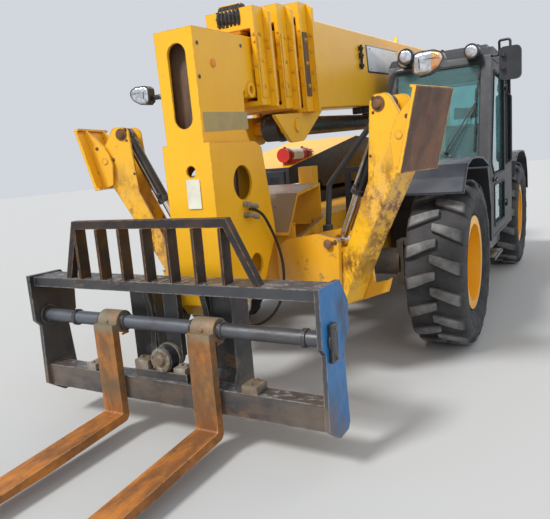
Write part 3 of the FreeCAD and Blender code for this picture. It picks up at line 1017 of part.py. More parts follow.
def lamps():
    """Headlamps on bent stalks, a round lamp beside one, roof lamps over the windscreen, and tail lamps."""
    axle = value("front_axle")
    front = axle - value("lamp_front")
    line = "front_axle - lamp_front"
    stalks = []
    shells = []
    for hand, sign in (("left", 1), ("right", -1)):
        side = "lamp_%s_side" % hand
        high = "lamp_%s_height" % hand
        up = value(high) - 20
        route = [(390, front, 955), (420, front, 1280), (835, front, up - 160), (885, front, up),
                 (value(side) - value("lamp_half") - 0.3, front, up)]
        stalk = feature("stalk_" + hand, tube("stalk", [(sign * x, y, z) for x, y, z in route],
                                              value("stalk_radius"), 48.0))
        foot = block("stalk_foot_" + hand, "rail_half", "430", line + " - 30", line + " + 30", "915", "955")
        ring = rod("stalk_collar_" + hand, "Z", "34", "390", line, "955", "60")
        base = fused("stalk_base_" + hand, [foot, ring])
        stalks += [stalk, base if sign > 0 else mirrored("stalk_base_mirror", base)]
        shell = prism("lamp_shell_" + hand, "XZ", line + " - 48", "66", lamp_outline(sign, side, high),
                      round_corners=[((1, 2, 4), "14")])
        back = rod("lamp_back_" + hand, "Y", "46", "%d * (%s - 12)" % (sign, side), line + " + 10", high, "50")
        shells.append(fused("lamp_" + hand, [shell, back]))
    beside = "lamp_left_side - lamp_half - 34"
    shells.append(fused("round_lamp", [
        rod("round_shell", "Y", "47", beside, line + " - 62", "lamp_left_height + 50", "70"),
        rod("round_foot", "Z", "12", beside, line, "lamp_left_height - 20 + stalk_radius + 0.3", "30")]))
    keep("lamp_stalks", fused("stalk_pair", stalks))
    for order, side in enumerate(("cab_in + 170", "cab_out - 135")):
        shells.append(fused("roof_lamp%d" % order, [
            rod("roof_shell%d" % order, "Y", "62", side, "front_axle + 742", "cab_roof - 47", "90"),
            block("roof_bracket%d" % order, side + " - 16", side + " + 16", "front_axle + 800", "front_axle + 1000",
                  "cab_roof + 0.3", "cab_roof + 10.3")]))
    tail = block("tail_lamp", "480", "610", "rear_end - 45", "rear_end - 8", "1020", "1140")
    keep("lamps", fused("lamp_set", shells + [tail, mirrored("tail_lamp_right", tail)]))


def mirrors():
    """A mirror on a looped arm at the cab's front corner, and one on a post over the right fender."""
    axle = value("front_axle")
    out = value("cab_out")
    side = out + value("mirror_out")
    top = value("cab_roof") - 46
    arm = [(out + 0.3, axle + 898, top - 40), (out + 62, axle + 898, top - 40), (out + 72, axle + 800, top + 56),
           (side, axle + 780, top + 56), (side, axle + 780, top - 30)]
    post = [(-1150, axle - 50, 1397), (-1150, axle - 50, 1720), (-side, axle + 120, 1800), (-side, axle + 120, 1880)]
    parts = [feature("mirror_arm", tube("mirror_arm", arm, 10.0, 22.0)),
             feature("mirror_post", tube("mirror_post", post, 12.0, 22.0)),
             rod("mirror_flange", "Z", "34", "-1150", "front_axle - 50", "1385.3", "14")]
    for hand, sign, y, high in (("left", 1, "front_axle + 780", "cab_roof - 174"), ("right", -1, "front_axle + 120",
                                                                                   "1990")):
        x = "%d * (cab_out + mirror_out)" % sign
        corners = [(x + " + (%s)" % a, "%s + (%s)" % (high, b)) for a, b in
                   (("-mirror_wide / 2", "-mirror_high / 2"), ("mirror_wide / 2", "-mirror_high / 2"),
                    ("mirror_wide / 2", "mirror_high / 2"), ("-mirror_wide / 2", "mirror_high / 2"))]
        parts.append(prism("mirror_case_" + hand, "XZ", y + " - 20", "42", corners,
                           round_corners=[((0, 1, 2, 3), "40")]))
    keep("mirror", fused("mirror_solid", parts))


def check_and_write():
    doc.recompute()
    for thing in doc.Objects:
        if "Invalid" in thing.State or "Error" in thing.State:
            raise RuntimeError("failed: %s %s" % (thing.Label, thing.State))
    os.makedirs("parts", exist_ok=True)
    for thing in NODES:
        shape = thing.Shape
        if shape.isNull() or not shape.isValid() or shape.Volume <= 0:
            raise RuntimeError("bad shape: " + thing.Label)
        shape.exportStep("parts/%s.step" % thing.Label)


fill_tables()
chassis_frame()
stabiliser_frame()
stabilisers()
axles()
wheels()
boom()
lift_ram()
nose()
carriage()
forks()
cab()
cab_inside()
engine_side()
fenders()
lamps()
mirrors()
check_and_write()
print("nodes", len(NODES))
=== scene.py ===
# A telescopic handler with front stabilisers and floating forks: its finishes, its small
# parts, and the studio that it stands in. Metres, X to the machine's left, Y to its rear.
import math
import random
import bmesh
import bpy
from mathutils import Matrix, Vector


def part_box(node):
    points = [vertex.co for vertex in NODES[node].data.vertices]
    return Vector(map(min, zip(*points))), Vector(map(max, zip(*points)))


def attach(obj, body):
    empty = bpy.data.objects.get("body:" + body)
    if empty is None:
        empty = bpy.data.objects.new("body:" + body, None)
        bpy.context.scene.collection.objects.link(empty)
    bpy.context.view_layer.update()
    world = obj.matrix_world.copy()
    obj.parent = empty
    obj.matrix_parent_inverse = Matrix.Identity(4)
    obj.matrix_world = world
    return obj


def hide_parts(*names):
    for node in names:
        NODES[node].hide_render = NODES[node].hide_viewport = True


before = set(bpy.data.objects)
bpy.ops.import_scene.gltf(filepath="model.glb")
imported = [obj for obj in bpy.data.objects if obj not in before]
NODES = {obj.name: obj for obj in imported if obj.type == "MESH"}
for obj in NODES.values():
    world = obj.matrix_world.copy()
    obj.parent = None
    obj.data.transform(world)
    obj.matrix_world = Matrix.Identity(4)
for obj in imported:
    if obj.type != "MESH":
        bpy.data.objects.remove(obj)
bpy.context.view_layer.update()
FINISHES = {}

# Places of the frame that the small parts hang on.
FRONT_AXLE = -0.3815
REAR_AXLE = FRONT_AXLE + 3.12
TRACK_HALF = 1.02
TYRE_RADIUS = 0.612
REAR_END = REAR_AXLE + 1.02
PIVOT = Vector((0, FRONT_AXLE + 3.5, 2.3))
BOOM_RISE = math.radians(3.45)
BOOM_FRONT = -4.179
COLLAR_PITCH = -0.264
COLLAR_LONG = 0.113
LEG_TURN = math.radians(15)
LEG_PIVOT = Vector((0.52, FRONT_AXLE - 1.06, 0))
CAB_IN, CAB_OUT = 0.34, 1.2
CAB_ROOF = 2.262
CAB_MIDDLE = (CAB_IN + CAB_OUT) / 2
DOOR_HINGE = FRONT_AXLE + 1.7
SHAFT = Vector((0, FRONT_AXLE - 2.06, 0.655))
X, Y, Z = Vector((1, 0, 0)), Vector((0, 1, 0)), Vector((0, 0, 1))


# The photograph's view.
def set_up_camera():
    """A camera on the left of the nose, a little above a person's head, tipped a few degrees."""
    turn, rise, roll = (math.radians(angle) for angle in (29.342, 9.993, -4.48))
    back = Vector((math.sin(turn) * math.cos(rise), -math.cos(turn) * math.cos(rise), math.sin(rise)))
    level = Vector((math.cos(turn), math.sin(turn), 0))
    upright = back.cross(level)
    right = level * math.cos(roll) + upright * math.sin(roll)
    top = upright * math.cos(roll) - level * math.sin(roll)
    data = bpy.data.cameras.new("photo_camera")
    data.sensor_width = 36
    data.lens = 565.82 * 36 / 550
    data.clip_end = 200
    camera = bpy.data.objects.new("photo_camera", data)
    bpy.context.scene.collection.objects.link(camera)
    camera.matrix_world = Matrix((
        (right.x, top.x, back.x, 1.918), (right.y, top.y, back.y, -4.6765),
        (right.z, top.z, back.z, 1.472), (0, 0, 0, 1)))
    bpy.context.scene.camera = camera


# Finishes. Each is a node material on the object's own coordinates.
def add(tree, kind, joined=(), **settings):
    """A node, its sockets joined or set from pairs of socket and value."""
    made = tree.nodes.new("ShaderNode" + kind)
    for name, what in settings.items():
        setattr(made, name, what)
    for socket, what in joined:
        if isinstance(what, bpy.types.NodeSocket):
            tree.links.new(what, made.inputs[socket])
        else:
            made.inputs[socket].default_value = what
    return made


def start_finish(name, colour, rough, metal=0.0):
    """A new material with its shader and the coordinates that its patterns follow."""
    made = bpy.data.materials.new(name)
    made.use_nodes = True
    made.diffuse_color = (*colour, 1)
    tree = made.node_tree
    shader = tree.nodes["Principled BSDF"]
    shader.inputs["Base Color"].default_value = (*colour, 1)
    shader.inputs["Roughness"].default_value = rough
    shader.inputs["Metallic"].default_value = metal
    place = add(tree, "TexCoord").outputs["Object"]
    FINISHES[name] = made
    return tree, shader, place


def noise(tree, place, scale, detail=6.0, rough=0.6, stretch=(1, 1, 1)):
    """A noise pattern, stretched along the axes where it runs in streaks."""
    at = add(tree, "Mapping", [("Vector", place), ("Scale", stretch)]).outputs["Vector"]
    return add(tree, "TexNoise", [("Vector", at), ("Scale", scale), ("Detail", detail),
                                  ("Roughness", rough)]).outputs["Fac"]


def spread(tree, what, low, high, to_low=0.0, to_high=1.0):
    """A value's range between two limits, drawn out to another range."""
    return add(tree, "MapRange", [("Value", what), ("From Min", low), ("From Max", high),
                                  ("To Min", to_low), ("To Max", to_high)]).outputs["Result"]


def blend_colours(tree, share, first, second):
    """Two colours mixed by a share."""
    mixer = add(tree, "Mix", data_type="RGBA")
    for number, what in ((0, share), (6, first), (7, second)):
        if isinstance(what, bpy.types.NodeSocket):
            tree.links.new(what, mixer.inputs[number])
        elif number == 0:
            mixer.inputs[0].default_value = what
        else:
            mixer.inputs[number].default_value = (*what, 1)
    return mixer.outputs[2]


def calculate(tree, operation, first, second=0.0, third=0.0):
    made = add(tree, "Math", [(0, first), (1, second), (2, third)], operation=operation)
    return made.outputs[0]


def times(tree, first, second):
    return calculate(tree, "MULTIPLY", first, second)


def between(tree, what, low, high, soft=0.002):
    """1 where a value lies between two limits, with soft ends."""
    return times(tree, spread(tree, what, low - soft, low + soft), spread(tree, what, high - soft, high + soft, 1, 0))


def facing_up(tree, low=0.35, high=0.9):
    """1 on surfaces that look upwards in the object's own frame."""
    normal = add(tree, "TexCoord").outputs["Normal"]
    up = add(tree, "SeparateXYZ", [(0, normal)]).outputs["Z"]
    return spread(tree, up, low, high)


def worn_edges(tree, place, reach, low=0.02, high=0.12, scale=30.0):
    """A broken line along the sharp edges, where paint or rust rubs off."""
    soft = add(tree, "Bevel", [("Radius", reach)], samples=4).outputs["Normal"]
    flat = add(tree, "NewGeometry").outputs["Normal"]
    match = add(tree, "VectorMath", [(0, soft), (1, flat)], operation="DOT_PRODUCT").outputs["Value"]
    edge = spread(tree, match, 1.0 - low, 1.0 - high)
    broken = spread(tree, noise(tree, place, scale, 4.0, 0.7), 0.36, 0.58)
    return times(tree, edge, broken)


def dusty(tree, place, colour, height, amount, dust):
    """The colour with dust that thins out upwards, lies on what looks up, and comes in patches."""
    up = add(tree, "SeparateXYZ", [(0, place)]).outputs["Z"]
    low = spread(tree, up, 0.0, height, 1.0, 0.12)
    lying = calculate(tree, "MAXIMUM", low, times(tree, facing_up(tree), 0.75))
    patches = spread(tree, noise(tree, place, 5.0, 8.0, 0.65), 0.34, 0.7)
    share = times(tree, times(tree, lying, patches), amount)
    return blend_colours(tree, share, colour, dust)


def roughened(tree, shader, place, low, high, scale=14.0, bump=0.15, grain=90.0, depth=0.002):
    """Uneven gloss and a fine grain in the surface."""
    gloss = spread(tree, noise(tree, place, scale), 0.3, 0.7, low, high)
    tree.links.new(gloss, shader.inputs["Roughness"])
    height = noise(tree, place, grain, 3.0)
    relief = add(tree, "Bump", [("Height", height), ("Strength", bump), ("Distance", depth)])
    tree.links.new(relief.outputs["Normal"], shader.inputs["Normal"])


def worn_paint(name, colour, faded, rust, wear, dust_height=1.6, dust=0.3, rough=(0.28, 0.45),
               streaks=(1, 1, 1), edges=0.006, edge_colour=None, dirt=(0.4, 0.33, 0.24)):
    """Sprayed enamel that has faded in patches, with chips down to brown steel and dust."""
    tree, shader, place = start_finish(name, colour, rough[0])
    cloudy = spread(tree, noise(tree, place, 2.2, 5.0), 0.35, 0.7)
    coat = blend_colours(tree, cloudy, colour, faded)
    scuffs = noise(tree, place, 7.0, 12.0, 0.78, streaks)
    where = spread(tree, noise(tree, place, 1.7, 3.0), 0.42, 0.62)
    bare = times(tree, spread(tree, scuffs, 0.68 - 0.2 * wear, 0.72 - 0.2 * wear), where)
    coat = blend_colours(tree, bare, coat, rust)
    if edges:
        rubbed = worn_edges(tree, place, edges)
        coat = blend_colours(tree, times(tree, rubbed, min(1.0, 0.35 + wear)), coat, edge_colour or rust)
    coat = dusty(tree, place, coat, dust_height, dust, dirt)
    tree.links.new(coat, shader.inputs["Base Color"])
    shader.inputs["Coat Weight"].default_value = 0.2
    shader.inputs["Coat Roughness"].default_value = 0.25
    roughened(tree, shader, place, rough[0], rough[1])
    return tree, shader, place, coat


def overlaid(finish, share, colour):
    """A further colour laid on a finished coat where the share says."""
    tree, shader, place, coat = finish
    coat = blend_colours(tree, share, coat, colour)
    tree.links.new(coat, shader.inputs["Base Color"])
    return tree, shader, place, coat


def scraped_leg():
    """The stabiliser legs: yellow, scraped to brown along their lower run and their edges."""
    finish = worn_paint("leg_yellow", (0.87, 0.46, 0.005), (0.84, 0.46, 0.03), (0.2, 0.085, 0.035), 0.42,
                        edges=0.02, dust=0.08)
    tree, shader, place, coat = finish
    up = add(tree, "SeparateXYZ", [(0, place)]).outputs["Z"]
    band = times(tree, spread(tree, up, 0.6, 0.85), spread(tree, up, 1.25, 1.55, 1, 0))
    scratches = spread(tree, noise(tree, place, 9.0, 13.0, 0.8, (1.0, 0.4, 0.55)), 0.47, 0.54)
    big = spread(tree, noise(tree, place, 2.6, 4.0), 0.36, 0.55)
    finish = overlaid(finish, times(tree, times(tree, band, scratches), big), (0.17, 0.055, 0.016))
    pale = spread(tree, noise(tree, place, 5.0, 10.0, 0.7, (1.0, 0.6, 0.6)), 0.5, 0.62)
    return overlaid(finish, times(tree, times(tree, band, pale), 0.5), (0.7, 0.42, 0.16))


def scraped_sole():
    """The stabiliser feet: yellow cheeks, and a sole scraped to brown steel on its outer face."""
    finish = worn_paint("foot_steel", (0.87, 0.46, 0.005), (0.82, 0.42, 0.02), (0.2, 0.085, 0.035), 0.5,
                        edges=0.012, rough=(0.4, 0.65), dust=0.1)
    tree, shader, place, coat = finish
    normal = add(tree, "SeparateXYZ", [(0, add(tree, "TexCoord").outputs["Normal"])])
    across = add(tree, "SeparateXYZ", [(0, place)])
    outer = spread(tree, times(tree, normal.outputs["X"], across.outputs["X"]), 0.55, 0.7)
    streaks = spread(tree, noise(tree, place, 4.0, 9.0, 0.7, (1.6, 1.6, 0.22)), 0.42, 0.66)
    brown = blend_colours(tree, streaks, (0.07, 0.023, 0.007), (0.17, 0.062, 0.02))
    rim = times(tree, worn_edges(tree, place, 0.016, scale=18.0), 0.8)
    brown = blend_colours(tree, rim, brown, (0.7, 0.42, 0.1))
    return overlaid(finish, outer, brown)


def bare_steel(name, bright, brown, share, metal, rough=(0.35, 0.65), streaks=(1, 1, 1), edge_colour=None,
               reach=0.01, dust=0.0):
    """Steel without paint, bright where it rubs and brown where it rusts."""
    tree, shader, place = start_finish(name, bright, rough[0], metal)
    rusty = spread(tree, noise(tree, place, 6.0, 10.0, 0.7, streaks), 0.62 - share * 0.4, 0.78 - share * 0.4)
    coat = blend_colours(tree, rusty, bright, brown)
    if edge_colour:
        coat = blend_colours(tree, times(tree, worn_edges(tree, place, reach), 0.8), coat, edge_colour)
    if dust:
        coat = dusty(tree, place, coat, 1.4, dust, (0.42, 0.35, 0.26))
    tree.links.new(coat, shader.inputs["Base Color"])
    roughened(tree, shader, place, rough[0], rough[1], bump=0.3)
    return tree, shader, place, coat


def fork_steel():
    """The forks: rolled steel gone orange-brown, tan with dust on the shanks."""
    finish = bare_steel("fork_steel", (0.48, 0.17, 0.025), (0.2, 0.075, 0.02), 0.5, 0.1, (0.5, 0.75),
                        (1.4, 0.35, 0.5), (0.6, 0.36, 0.12), 0.008)
    tree, shader, place, coat = finish
    up = add(tree, "SeparateXYZ", [(0, place)]).outputs["Z"]
    shank = times(tree, spread(tree, up, 0.14, 0.3), spread(tree, noise(tree, place, 5.0, 9.0, 0.7), 0.32, 0.6))
    finish = overlaid(finish, times(tree, shank, 0.85), (0.11, 0.08, 0.042))
    boss = times(tree, spread(tree, up, 0.6, 0.64), spread(tree, noise(tree, place, 9.0), 0.3, 0.5))
    finish = overlaid(finish, times(tree, boss, 0.8), (0.2, 0.175, 0.12))
    pits = spread(tree, noise(tree, place, 26.0, 8.0, 0.7), 0.58, 0.68)
    return overlaid(finish, times(tree, pits, 0.6), (0.055, 0.035, 0.025))


def carriage_paint():
    """The fork carriage: dark grey enamel, dusty and scraped, its left end rubbed blue."""
    finish = worn_paint("carriage_paint", (0.013, 0.015, 0.02), (0.03, 0.033, 0.041), (0.13, 0.07, 0.04), 0.55,
                        1.2, 0.2, (0.35, 0.6), (0.35, 1, 1), 0.01, (0.3, 0.28, 0.26))
    tree, shader, place, coat = finish
    apart = add(tree, "SeparateXYZ", [(0, place)])
    outside = spread(tree, apart.outputs["X"], 0.9165, 0.9175)
    rubbed = spread(tree, noise(tree, place, 4.0, 10.0, 0.7, (1, 1, 0.5)), 0.3, 0.5)
    finish = overlaid(finish, times(tree, times(tree, outside, rubbed), 0.92), (0.006, 0.15, 0.4))
    low = times(tree, spread(tree, apart.outputs["Z"], 0.34, 0.36, 1, 0),
                spread(tree, noise(tree, place, 3.0, 8.0, 0.7, (0.5, 1, 1)), 0.42, 0.62))
    finish = overlaid(finish, times(tree, low, 0.7), (0.16, 0.11, 0.075))
    flecks = spread(tree, noise(tree, place, 26.0, 10.0, 0.75, (0.6, 1, 1)), 0.52, 0.6)
    return overlaid(finish, times(tree, times(tree, facing_up(tree), flecks), 0.6), (0.3, 0.31, 0.33))


def moulded(name, colour, rough=(0.45, 0.65), dust=0.25, dust_height=2.0, grain=220.0, sheen=0.0):
    """Moulded or sprayed black plastic with a fine grain and some dust."""
    tree, shader, place = start_finish(name, colour, rough[0])
    pale = tuple(min(1.0, part * 1.35 + 0.003) for part in colour)
    coat = blend_colours(tree, spread(tree, noise(tree, place, 3.5), 0.35, 0.75), colour, pale)
    coat = blend_colours(tree, times(tree, worn_edges(tree, place, 0.006), 0.35), coat, (0.2, 0.2, 0.21))
    coat = dusty(tree, place, coat, dust_height, dust, (0.22, 0.2, 0.17))
    tree.links.new(coat, shader.inputs["Base Color"])
    shader.inputs["Sheen Weight"].default_value = sheen
    roughened(tree, shader, place, rough[0], rough[1], grain=grain, depth=0.001)
    return tree, shader, place, coat


def tyre_rubber():
    """Black rubber, with pale dust on the tread and a grey film on the walls."""
    tree, shader, place = start_finish("tyre_rubber", (0.018, 0.018, 0.02), 0.8)
    pale = spread(tree, noise(tree, place, 9.0, 9.0, 0.7), 0.4, 0.75)
    coat = blend_colours(tree, pale, (0.014, 0.015, 0.018), (0.045, 0.045, 0.048))
    apart = add(tree, "SeparateXYZ", [(0, place)])
    along = [calculate(tree, "ABSOLUTE", calculate(tree, "SUBTRACT", apart.outputs["Y"], axle))
             for axle in (FRONT_AXLE, REAR_AXLE)]
    near = calculate(tree, "MINIMUM", *along)
    up = calculate(tree, "SUBTRACT", apart.outputs["Z"], TYRE_RADIUS)
    out = calculate(tree, "SQRT", calculate(tree, "ADD", times(tree, near, near), times(tree, up, up)))
    tread = spread(tree, out, 0.585, 0.603)
    blotch = spread(tree, noise(tree, place, 7.0, 10.0, 0.7), 0.3, 0.6)
    coat = blend_colours(tree, times(tree, tread, blotch), coat, (0.2, 0.195, 0.19))
    groove = times(tree, between(tree, out, 0.5, 0.58, 0.02), blotch)
    coat = blend_colours(tree, times(tree, groove, 0.25), coat, (0.16, 0.15, 0.14))
    tree.links.new(coat, shader.inputs["Base Color"])
    roughened(tree, shader, place, 0.65, 0.95, bump=0.35, grain=60.0)


def clear_pane(name, tint, rough=0.02):
    """Tinted safety glass with a film of dust."""
    tree, shader, place = start_finish(name, tint, rough)
    shader.inputs["Transmission Weight"].default_value = 0.88
    shader.inputs["IOR"].default_value = 1.45
    film = spread(tree, noise(tree, place, 3.0), 0.35, 0.75, 0.0, rough)
    tree.links.new(film, shader.inputs["Roughness"])
    smear = spread(tree, noise(tree, place, 4.0, 8.0), 0.45, 0.8)
    dirty = tuple(part * 0.75 for part in tint)
    tree.links.new(blend_colours(tree, smear, tint, dirty), shader.inputs["Base Color"])


def lamp_lens(name, amber=None):
    """A clear lens over faceted silver, with amber between two places along X."""
    tree, shader, place = start_finish(name, (0.75, 0.77, 0.8), 0.12, 0.85)
    facets = add(tree, "TexVoronoi", [("Vector", place), ("Scale", 30.0)], feature="F1")
    ribs = add(tree, "TexWave", [("Vector", place), ("Scale", 60.0), ("Distortion", 1.5)])
    shade = spread(tree, facets.outputs["Distance"], 0.1, 0.7)
    coat = blend_colours(tree, shade, (0.86, 0.88, 0.92), (0.5, 0.52, 0.56))
    if amber:
        apart = add(tree, "SeparateXYZ", [(0, place)])
        inside = between(tree, apart.outputs["X"], *amber)
        coat = blend_colours(tree, times(tree, inside, 0.8), coat, (0.86, 0.36, 0.08))
    tree.links.new(coat, shader.inputs["Base Color"])
    relief = add(tree, "Bump", [("Height", facets.outputs["Distance"]), ("Strength", 0.45), ("Distance", 0.006)])
    fine = add(tree, "Bump", [("Height", ribs.outputs["Fac"]), ("Strength", 0.25), ("Distance", 0.003),
                              ("Normal", relief.outputs["Normal"])])
    tree.links.new(fine.outputs["Normal"], shader.inputs["Normal"])
    shader.inputs["Coat Weight"].default_value = 1.0
    shader.inputs["Coat Roughness"].default_value = 0.04
    gloss = spread(tree, noise(tree, place, 30.0), 0.3, 0.7, 0.08, 0.25)
    tree.links.new(gloss, shader.inputs["Roughness"])


def coloured_lens(name, colour):
    """A moulded lens with fine flutes."""
    tree, shader, place = start_finish(name, colour, 0.15)
    flutes = add(tree, "TexWave", [("Vector", place), ("Scale", 90.0), ("Distortion", 0.2)])
    dark = tuple(part * 0.5 for part in colour)
    tree.links.new(blend_colours(tree, flutes.outputs["Fac"], dark, colour), shader.inputs["Base Color"])
    relief = add(tree, "Bump", [("Height", flutes.outputs["Fac"]), ("Strength", 0.5), ("Distance", 0.003)])
    tree.links.new(relief.outputs["Normal"], shader.inputs["Normal"])
    gloss = spread(tree, noise(tree, place, 25.0), 0.3, 0.7, 0.1, 0.3)
    tree.links.new(gloss, shader.inputs["Roughness"])
    shader.inputs["Coat Weight"].default_value = 0.8


def sticker(name, colour, grime):
    """A blank plate or film, greyed by dirt that gathers in patches."""
    tree, shader, place = start_finish(name, colour, 0.4)
    patches = spread(tree, noise(tree, place, 9.0, 9.0, 0.7), 0.38, 0.7)
    tree.links.new(blend_colours(tree, times(tree, patches, 0.6), colour, grime), shader.inputs["Base Color"])
    roughened(tree, shader, place, 0.3, 0.6, bump=0.08)


def mirror_face():
    """Silvered glass with dust."""
    tree, shader, place = start_finish("mirror_face", (0.75, 0.77, 0.8), 0.04, 1.0)
    film = spread(tree, noise(tree, place, 12.0, 8.0), 0.4, 0.8, 0.03, 0.25)
    tree.links.new(film, shader.inputs["Roughness"])


def seat_cloth():
    """Black ribbed cloth of the seat, with a woven grain and pale dust."""
    tree, shader, place = start_finish("seat_cover", (0.03, 0.031, 0.035), 0.9)
    weave = add(tree, "TexWave", [("Vector", place), ("Scale", 160.0), ("Distortion", 0.4)], bands_direction="Z")
    cross = add(tree, "TexWave", [("Vector", place), ("Scale", 160.0), ("Distortion", 0.4)], bands_direction="X")
    both = times(tree, weave.outputs["Fac"], cross.outputs["Fac"])
    coat = blend_colours(tree, both, (0.02, 0.02, 0.024), (0.065, 0.066, 0.072))
    coat = blend_colours(tree, times(tree, spread(tree, noise(tree, place, 6.0, 8.0), 0.45, 0.8), 0.4), coat,
                         (0.2, 0.18, 0.16))
    tree.links.new(coat, shader.inputs["Base Color"])
    shader.inputs["Sheen Weight"].default_value = 0.3
    relief = add(tree, "Bump", [("Height", both), ("Strength", 0.4), ("Distance", 0.002)])
    tree.links.new(relief.outputs["Normal"], shader.inputs["Normal"])
    tree.links.new(spread(tree, noise(tree, place, 15.0), 0.3, 0.7, 0.75, 0.95), shader.inputs["Roughness"])


def make_finishes():
    brown = (0.17, 0.075, 0.035)
    worn_paint("yellow_paint", (0.87, 0.46, 0.004), (0.82, 0.4, 0.006), brown, 0.24, dust=0.07, edges=0.012)
    tree, shader, place, coat = worn_paint("chassis_yellow", (0.82, 0.4, 0.006), (0.68, 0.32, 0.01),
                                           (0.18, 0.095, 0.045), 0.5, dust=0.3)
    ahead = spread(tree, add(tree, "SeparateXYZ", [(0, place)]).outputs["Y"], -0.95, -0.75, 1, 0)
    grit = spread(tree, noise(tree, place, 8.0, 10.0, 0.7), 0.26, 0.4)
    overlaid((tree, shader, place, coat), times(tree, times(tree, facing_up(tree, 0.15, 0.45), ahead), grit),
             (0.22, 0.14, 0.065))
    finish = worn_paint("bonnet_yellow", (0.9, 0.5, 0.004), (0.86, 0.46, 0.006), (0.3, 0.2, 0.08), 0.02, dust=0.05)
    tree, shader, place, coat = finish
    normal = add(tree, "SeparateXYZ", [(0, add(tree, "TexCoord").outputs["Normal"])])
    inner = calculate(tree, "MAXIMUM", spread(tree, normal.outputs["X"], 0.4, 0.45),
                      spread(tree, normal.outputs["Y"], -0.45, -0.4, 1, 0))
    overlaid(finish, inner, (0.022, 0.024, 0.028))
    worn_paint("rim_yellow", (0.87, 0.42, 0.004), (0.82, 0.36, 0.006), (0.2, 0.1, 0.05), 0.25, 1.1, 0.2)
    worn_paint("black_paint", (0.012, 0.013, 0.016), (0.026, 0.027, 0.031), (0.11, 0.07, 0.045), 0.3, dust=0.12,
               edge_colour=(0.3, 0.29, 0.28))
    worn_paint("red_paint", (0.62, 0.014, 0.012), (0.5, 0.02, 0.015), (0.2, 0.1, 0.08), 0.05, dust=0.1)
    worn_paint("ram_black", (0.014, 0.015, 0.017), (0.03, 0.03, 0.033), (0.5, 0.48, 0.45), 0.36,
               dust=0.1, rough=(0.25, 0.5), streaks=(1, 1, 0.3), edge_colour=(0.3, 0.3, 0.3))
    scraped_leg()
    scraped_sole()
    carriage_paint()
    fork_steel()
    bare_steel("rest_steel", (0.02, 0.02, 0.023), (0.06, 0.034, 0.022), 0.42, 0.3, (0.42, 0.68),
               edge_colour=(0.42, 0.2, 0.06), reach=0.01)
    bare_steel("shaft_steel", (0.11, 0.12, 0.14), (0.07, 0.065, 0.062), 0.4, 0.45, (0.35, 0.55), (0.2, 1, 1))
    bare_steel("chrome_rod", (0.7, 0.7, 0.72), (0.45, 0.44, 0.43), 0.2, 1.0, (0.12, 0.28))
    bare_steel("zinc_bolt", (0.5, 0.49, 0.46), (0.24, 0.15, 0.09), 0.5, 0.7, (0.35, 0.6), dust=0.3)
    bare_steel("rusty_bolt", (0.24, 0.13, 0.07), (0.13, 0.06, 0.03), 0.5, 0.3, (0.55, 0.8))
    # Brown bare steel: the wear pads at the outer boom's mouth, and painted shade on the plate inside the nose.
    bare_steel("wear_pad_and_nose_shade", (0.16, 0.09, 0.05), (0.09, 0.055, 0.035), 0.5, 0.0, (0.55, 0.75), (2, 2, 0.5))
    bare_steel("cast_iron", (0.05, 0.049, 0.048), (0.09, 0.058, 0.036), 0.5, 0.2, (0.55, 0.8), dust=0.35)
    bare_steel("pale_zinc", (0.3, 0.28, 0.24), (0.15, 0.11, 0.07), 0.5, 0.35, (0.4, 0.7), dust=0.3)
    moulded("cab_black", (0.01, 0.011, 0.014), (0.42, 0.6), 0.05)
    moulded("black_plastic", (0.014, 0.018, 0.028), (0.3, 0.5), 0.1)
    moulded("black_rubber", (0.01, 0.01, 0.011), (0.55, 0.8), 0.1)
    moulded("lamp_body", (0.02, 0.02, 0.022), (0.3, 0.5))
    moulded("mirror_black", (0.02, 0.022, 0.026), (0.3, 0.45), 0.05)
    moulded("pale_vinyl", (0.42, 0.42, 0.42), (0.5, 0.7), 0.1)
    seat_cloth()
    tyre_rubber()
    clear_pane("glass", (0.38, 0.7, 0.71))
    lamp_lens("left_lens", (1.118, 1.174))
    lamp_lens("right_lens")
    lamp_lens("work_lens")
    coloured_lens("red_lens", (0.55, 0.02, 0.015))
    coloured_lens("amber_lens", (0.85, 0.28, 0.02))
    sticker("pale_plate", (0.72, 0.76, 0.8), (0.5, 0.5, 0.5))
    sticker("cream_label", (0.78, 0.76, 0.62), (0.5, 0.45, 0.35))
    sticker("film_strip", (0.42, 0.33, 0.13), (0.27, 0.21, 0.1))
    sticker("orange_spot", (0.8, 0.25, 0.02), (0.5, 0.2, 0.05))
    mirror_face()


NODE_FINISH = {
    "stabiliser_leg_left": "leg_yellow", "stabiliser_leg_right": "leg_yellow",
    "stabiliser_foot_left": "foot_steel", "stabiliser_foot_right": "foot_steel",
    "stabiliser_barrel_left": "ram_black", "stabiliser_barrel_right": "ram_black",
    "lift_barrel": "ram_black", "load_rest": "rest_steel", "front_axle": "cast_iron", "rear_axle": "cast_iron",
    "engine_block": "cast_iron"}


def dress_nodes():
    """Each CAD node gets the finish that its own slot names, or that its place asks for."""
    for node in NODES.values():
        slots = [slot.name.split(".")[0] for slot in node.data.materials if slot]
        for order, slot in enumerate(slots):
            finish = NODE_FINISH.get(node.name, slot)
            if finish not in FINISHES:
                raise RuntimeError("no finish for %s on %s" % (slot, node.name))
            node.data.materials[order] = FINISHES[finish]


# Pieces. Each is shaped in a bmesh and keeps its place in its mesh.
def finished(made, finish, body):
    """An object with its finish, riding on a body."""
    made.data.materials.append(FINISHES[finish])
    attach(made, body)
    return made


def piece(name, shape, finish, body, crease=40):
    """A finished bmesh as an object, smooth up to a crease angle in degrees."""
    bmesh.ops.remove_doubles(shape, verts=shape.verts, dist=1e-5)
    bmesh.ops.recalc_face_normals(shape, faces=shape.faces)
    mesh = bpy.data.meshes.new(name)
    shape.to_mesh(mesh)
    shape.free()
    made = bpy.data.objects.new(name, mesh)
    bpy.context.scene.collection.objects.link(made)
    for face in mesh.polygons:
        face.use_smooth = True
    mesh.set_sharp_from_angle(angle=math.radians(crease))
    return finished(made, finish, body)


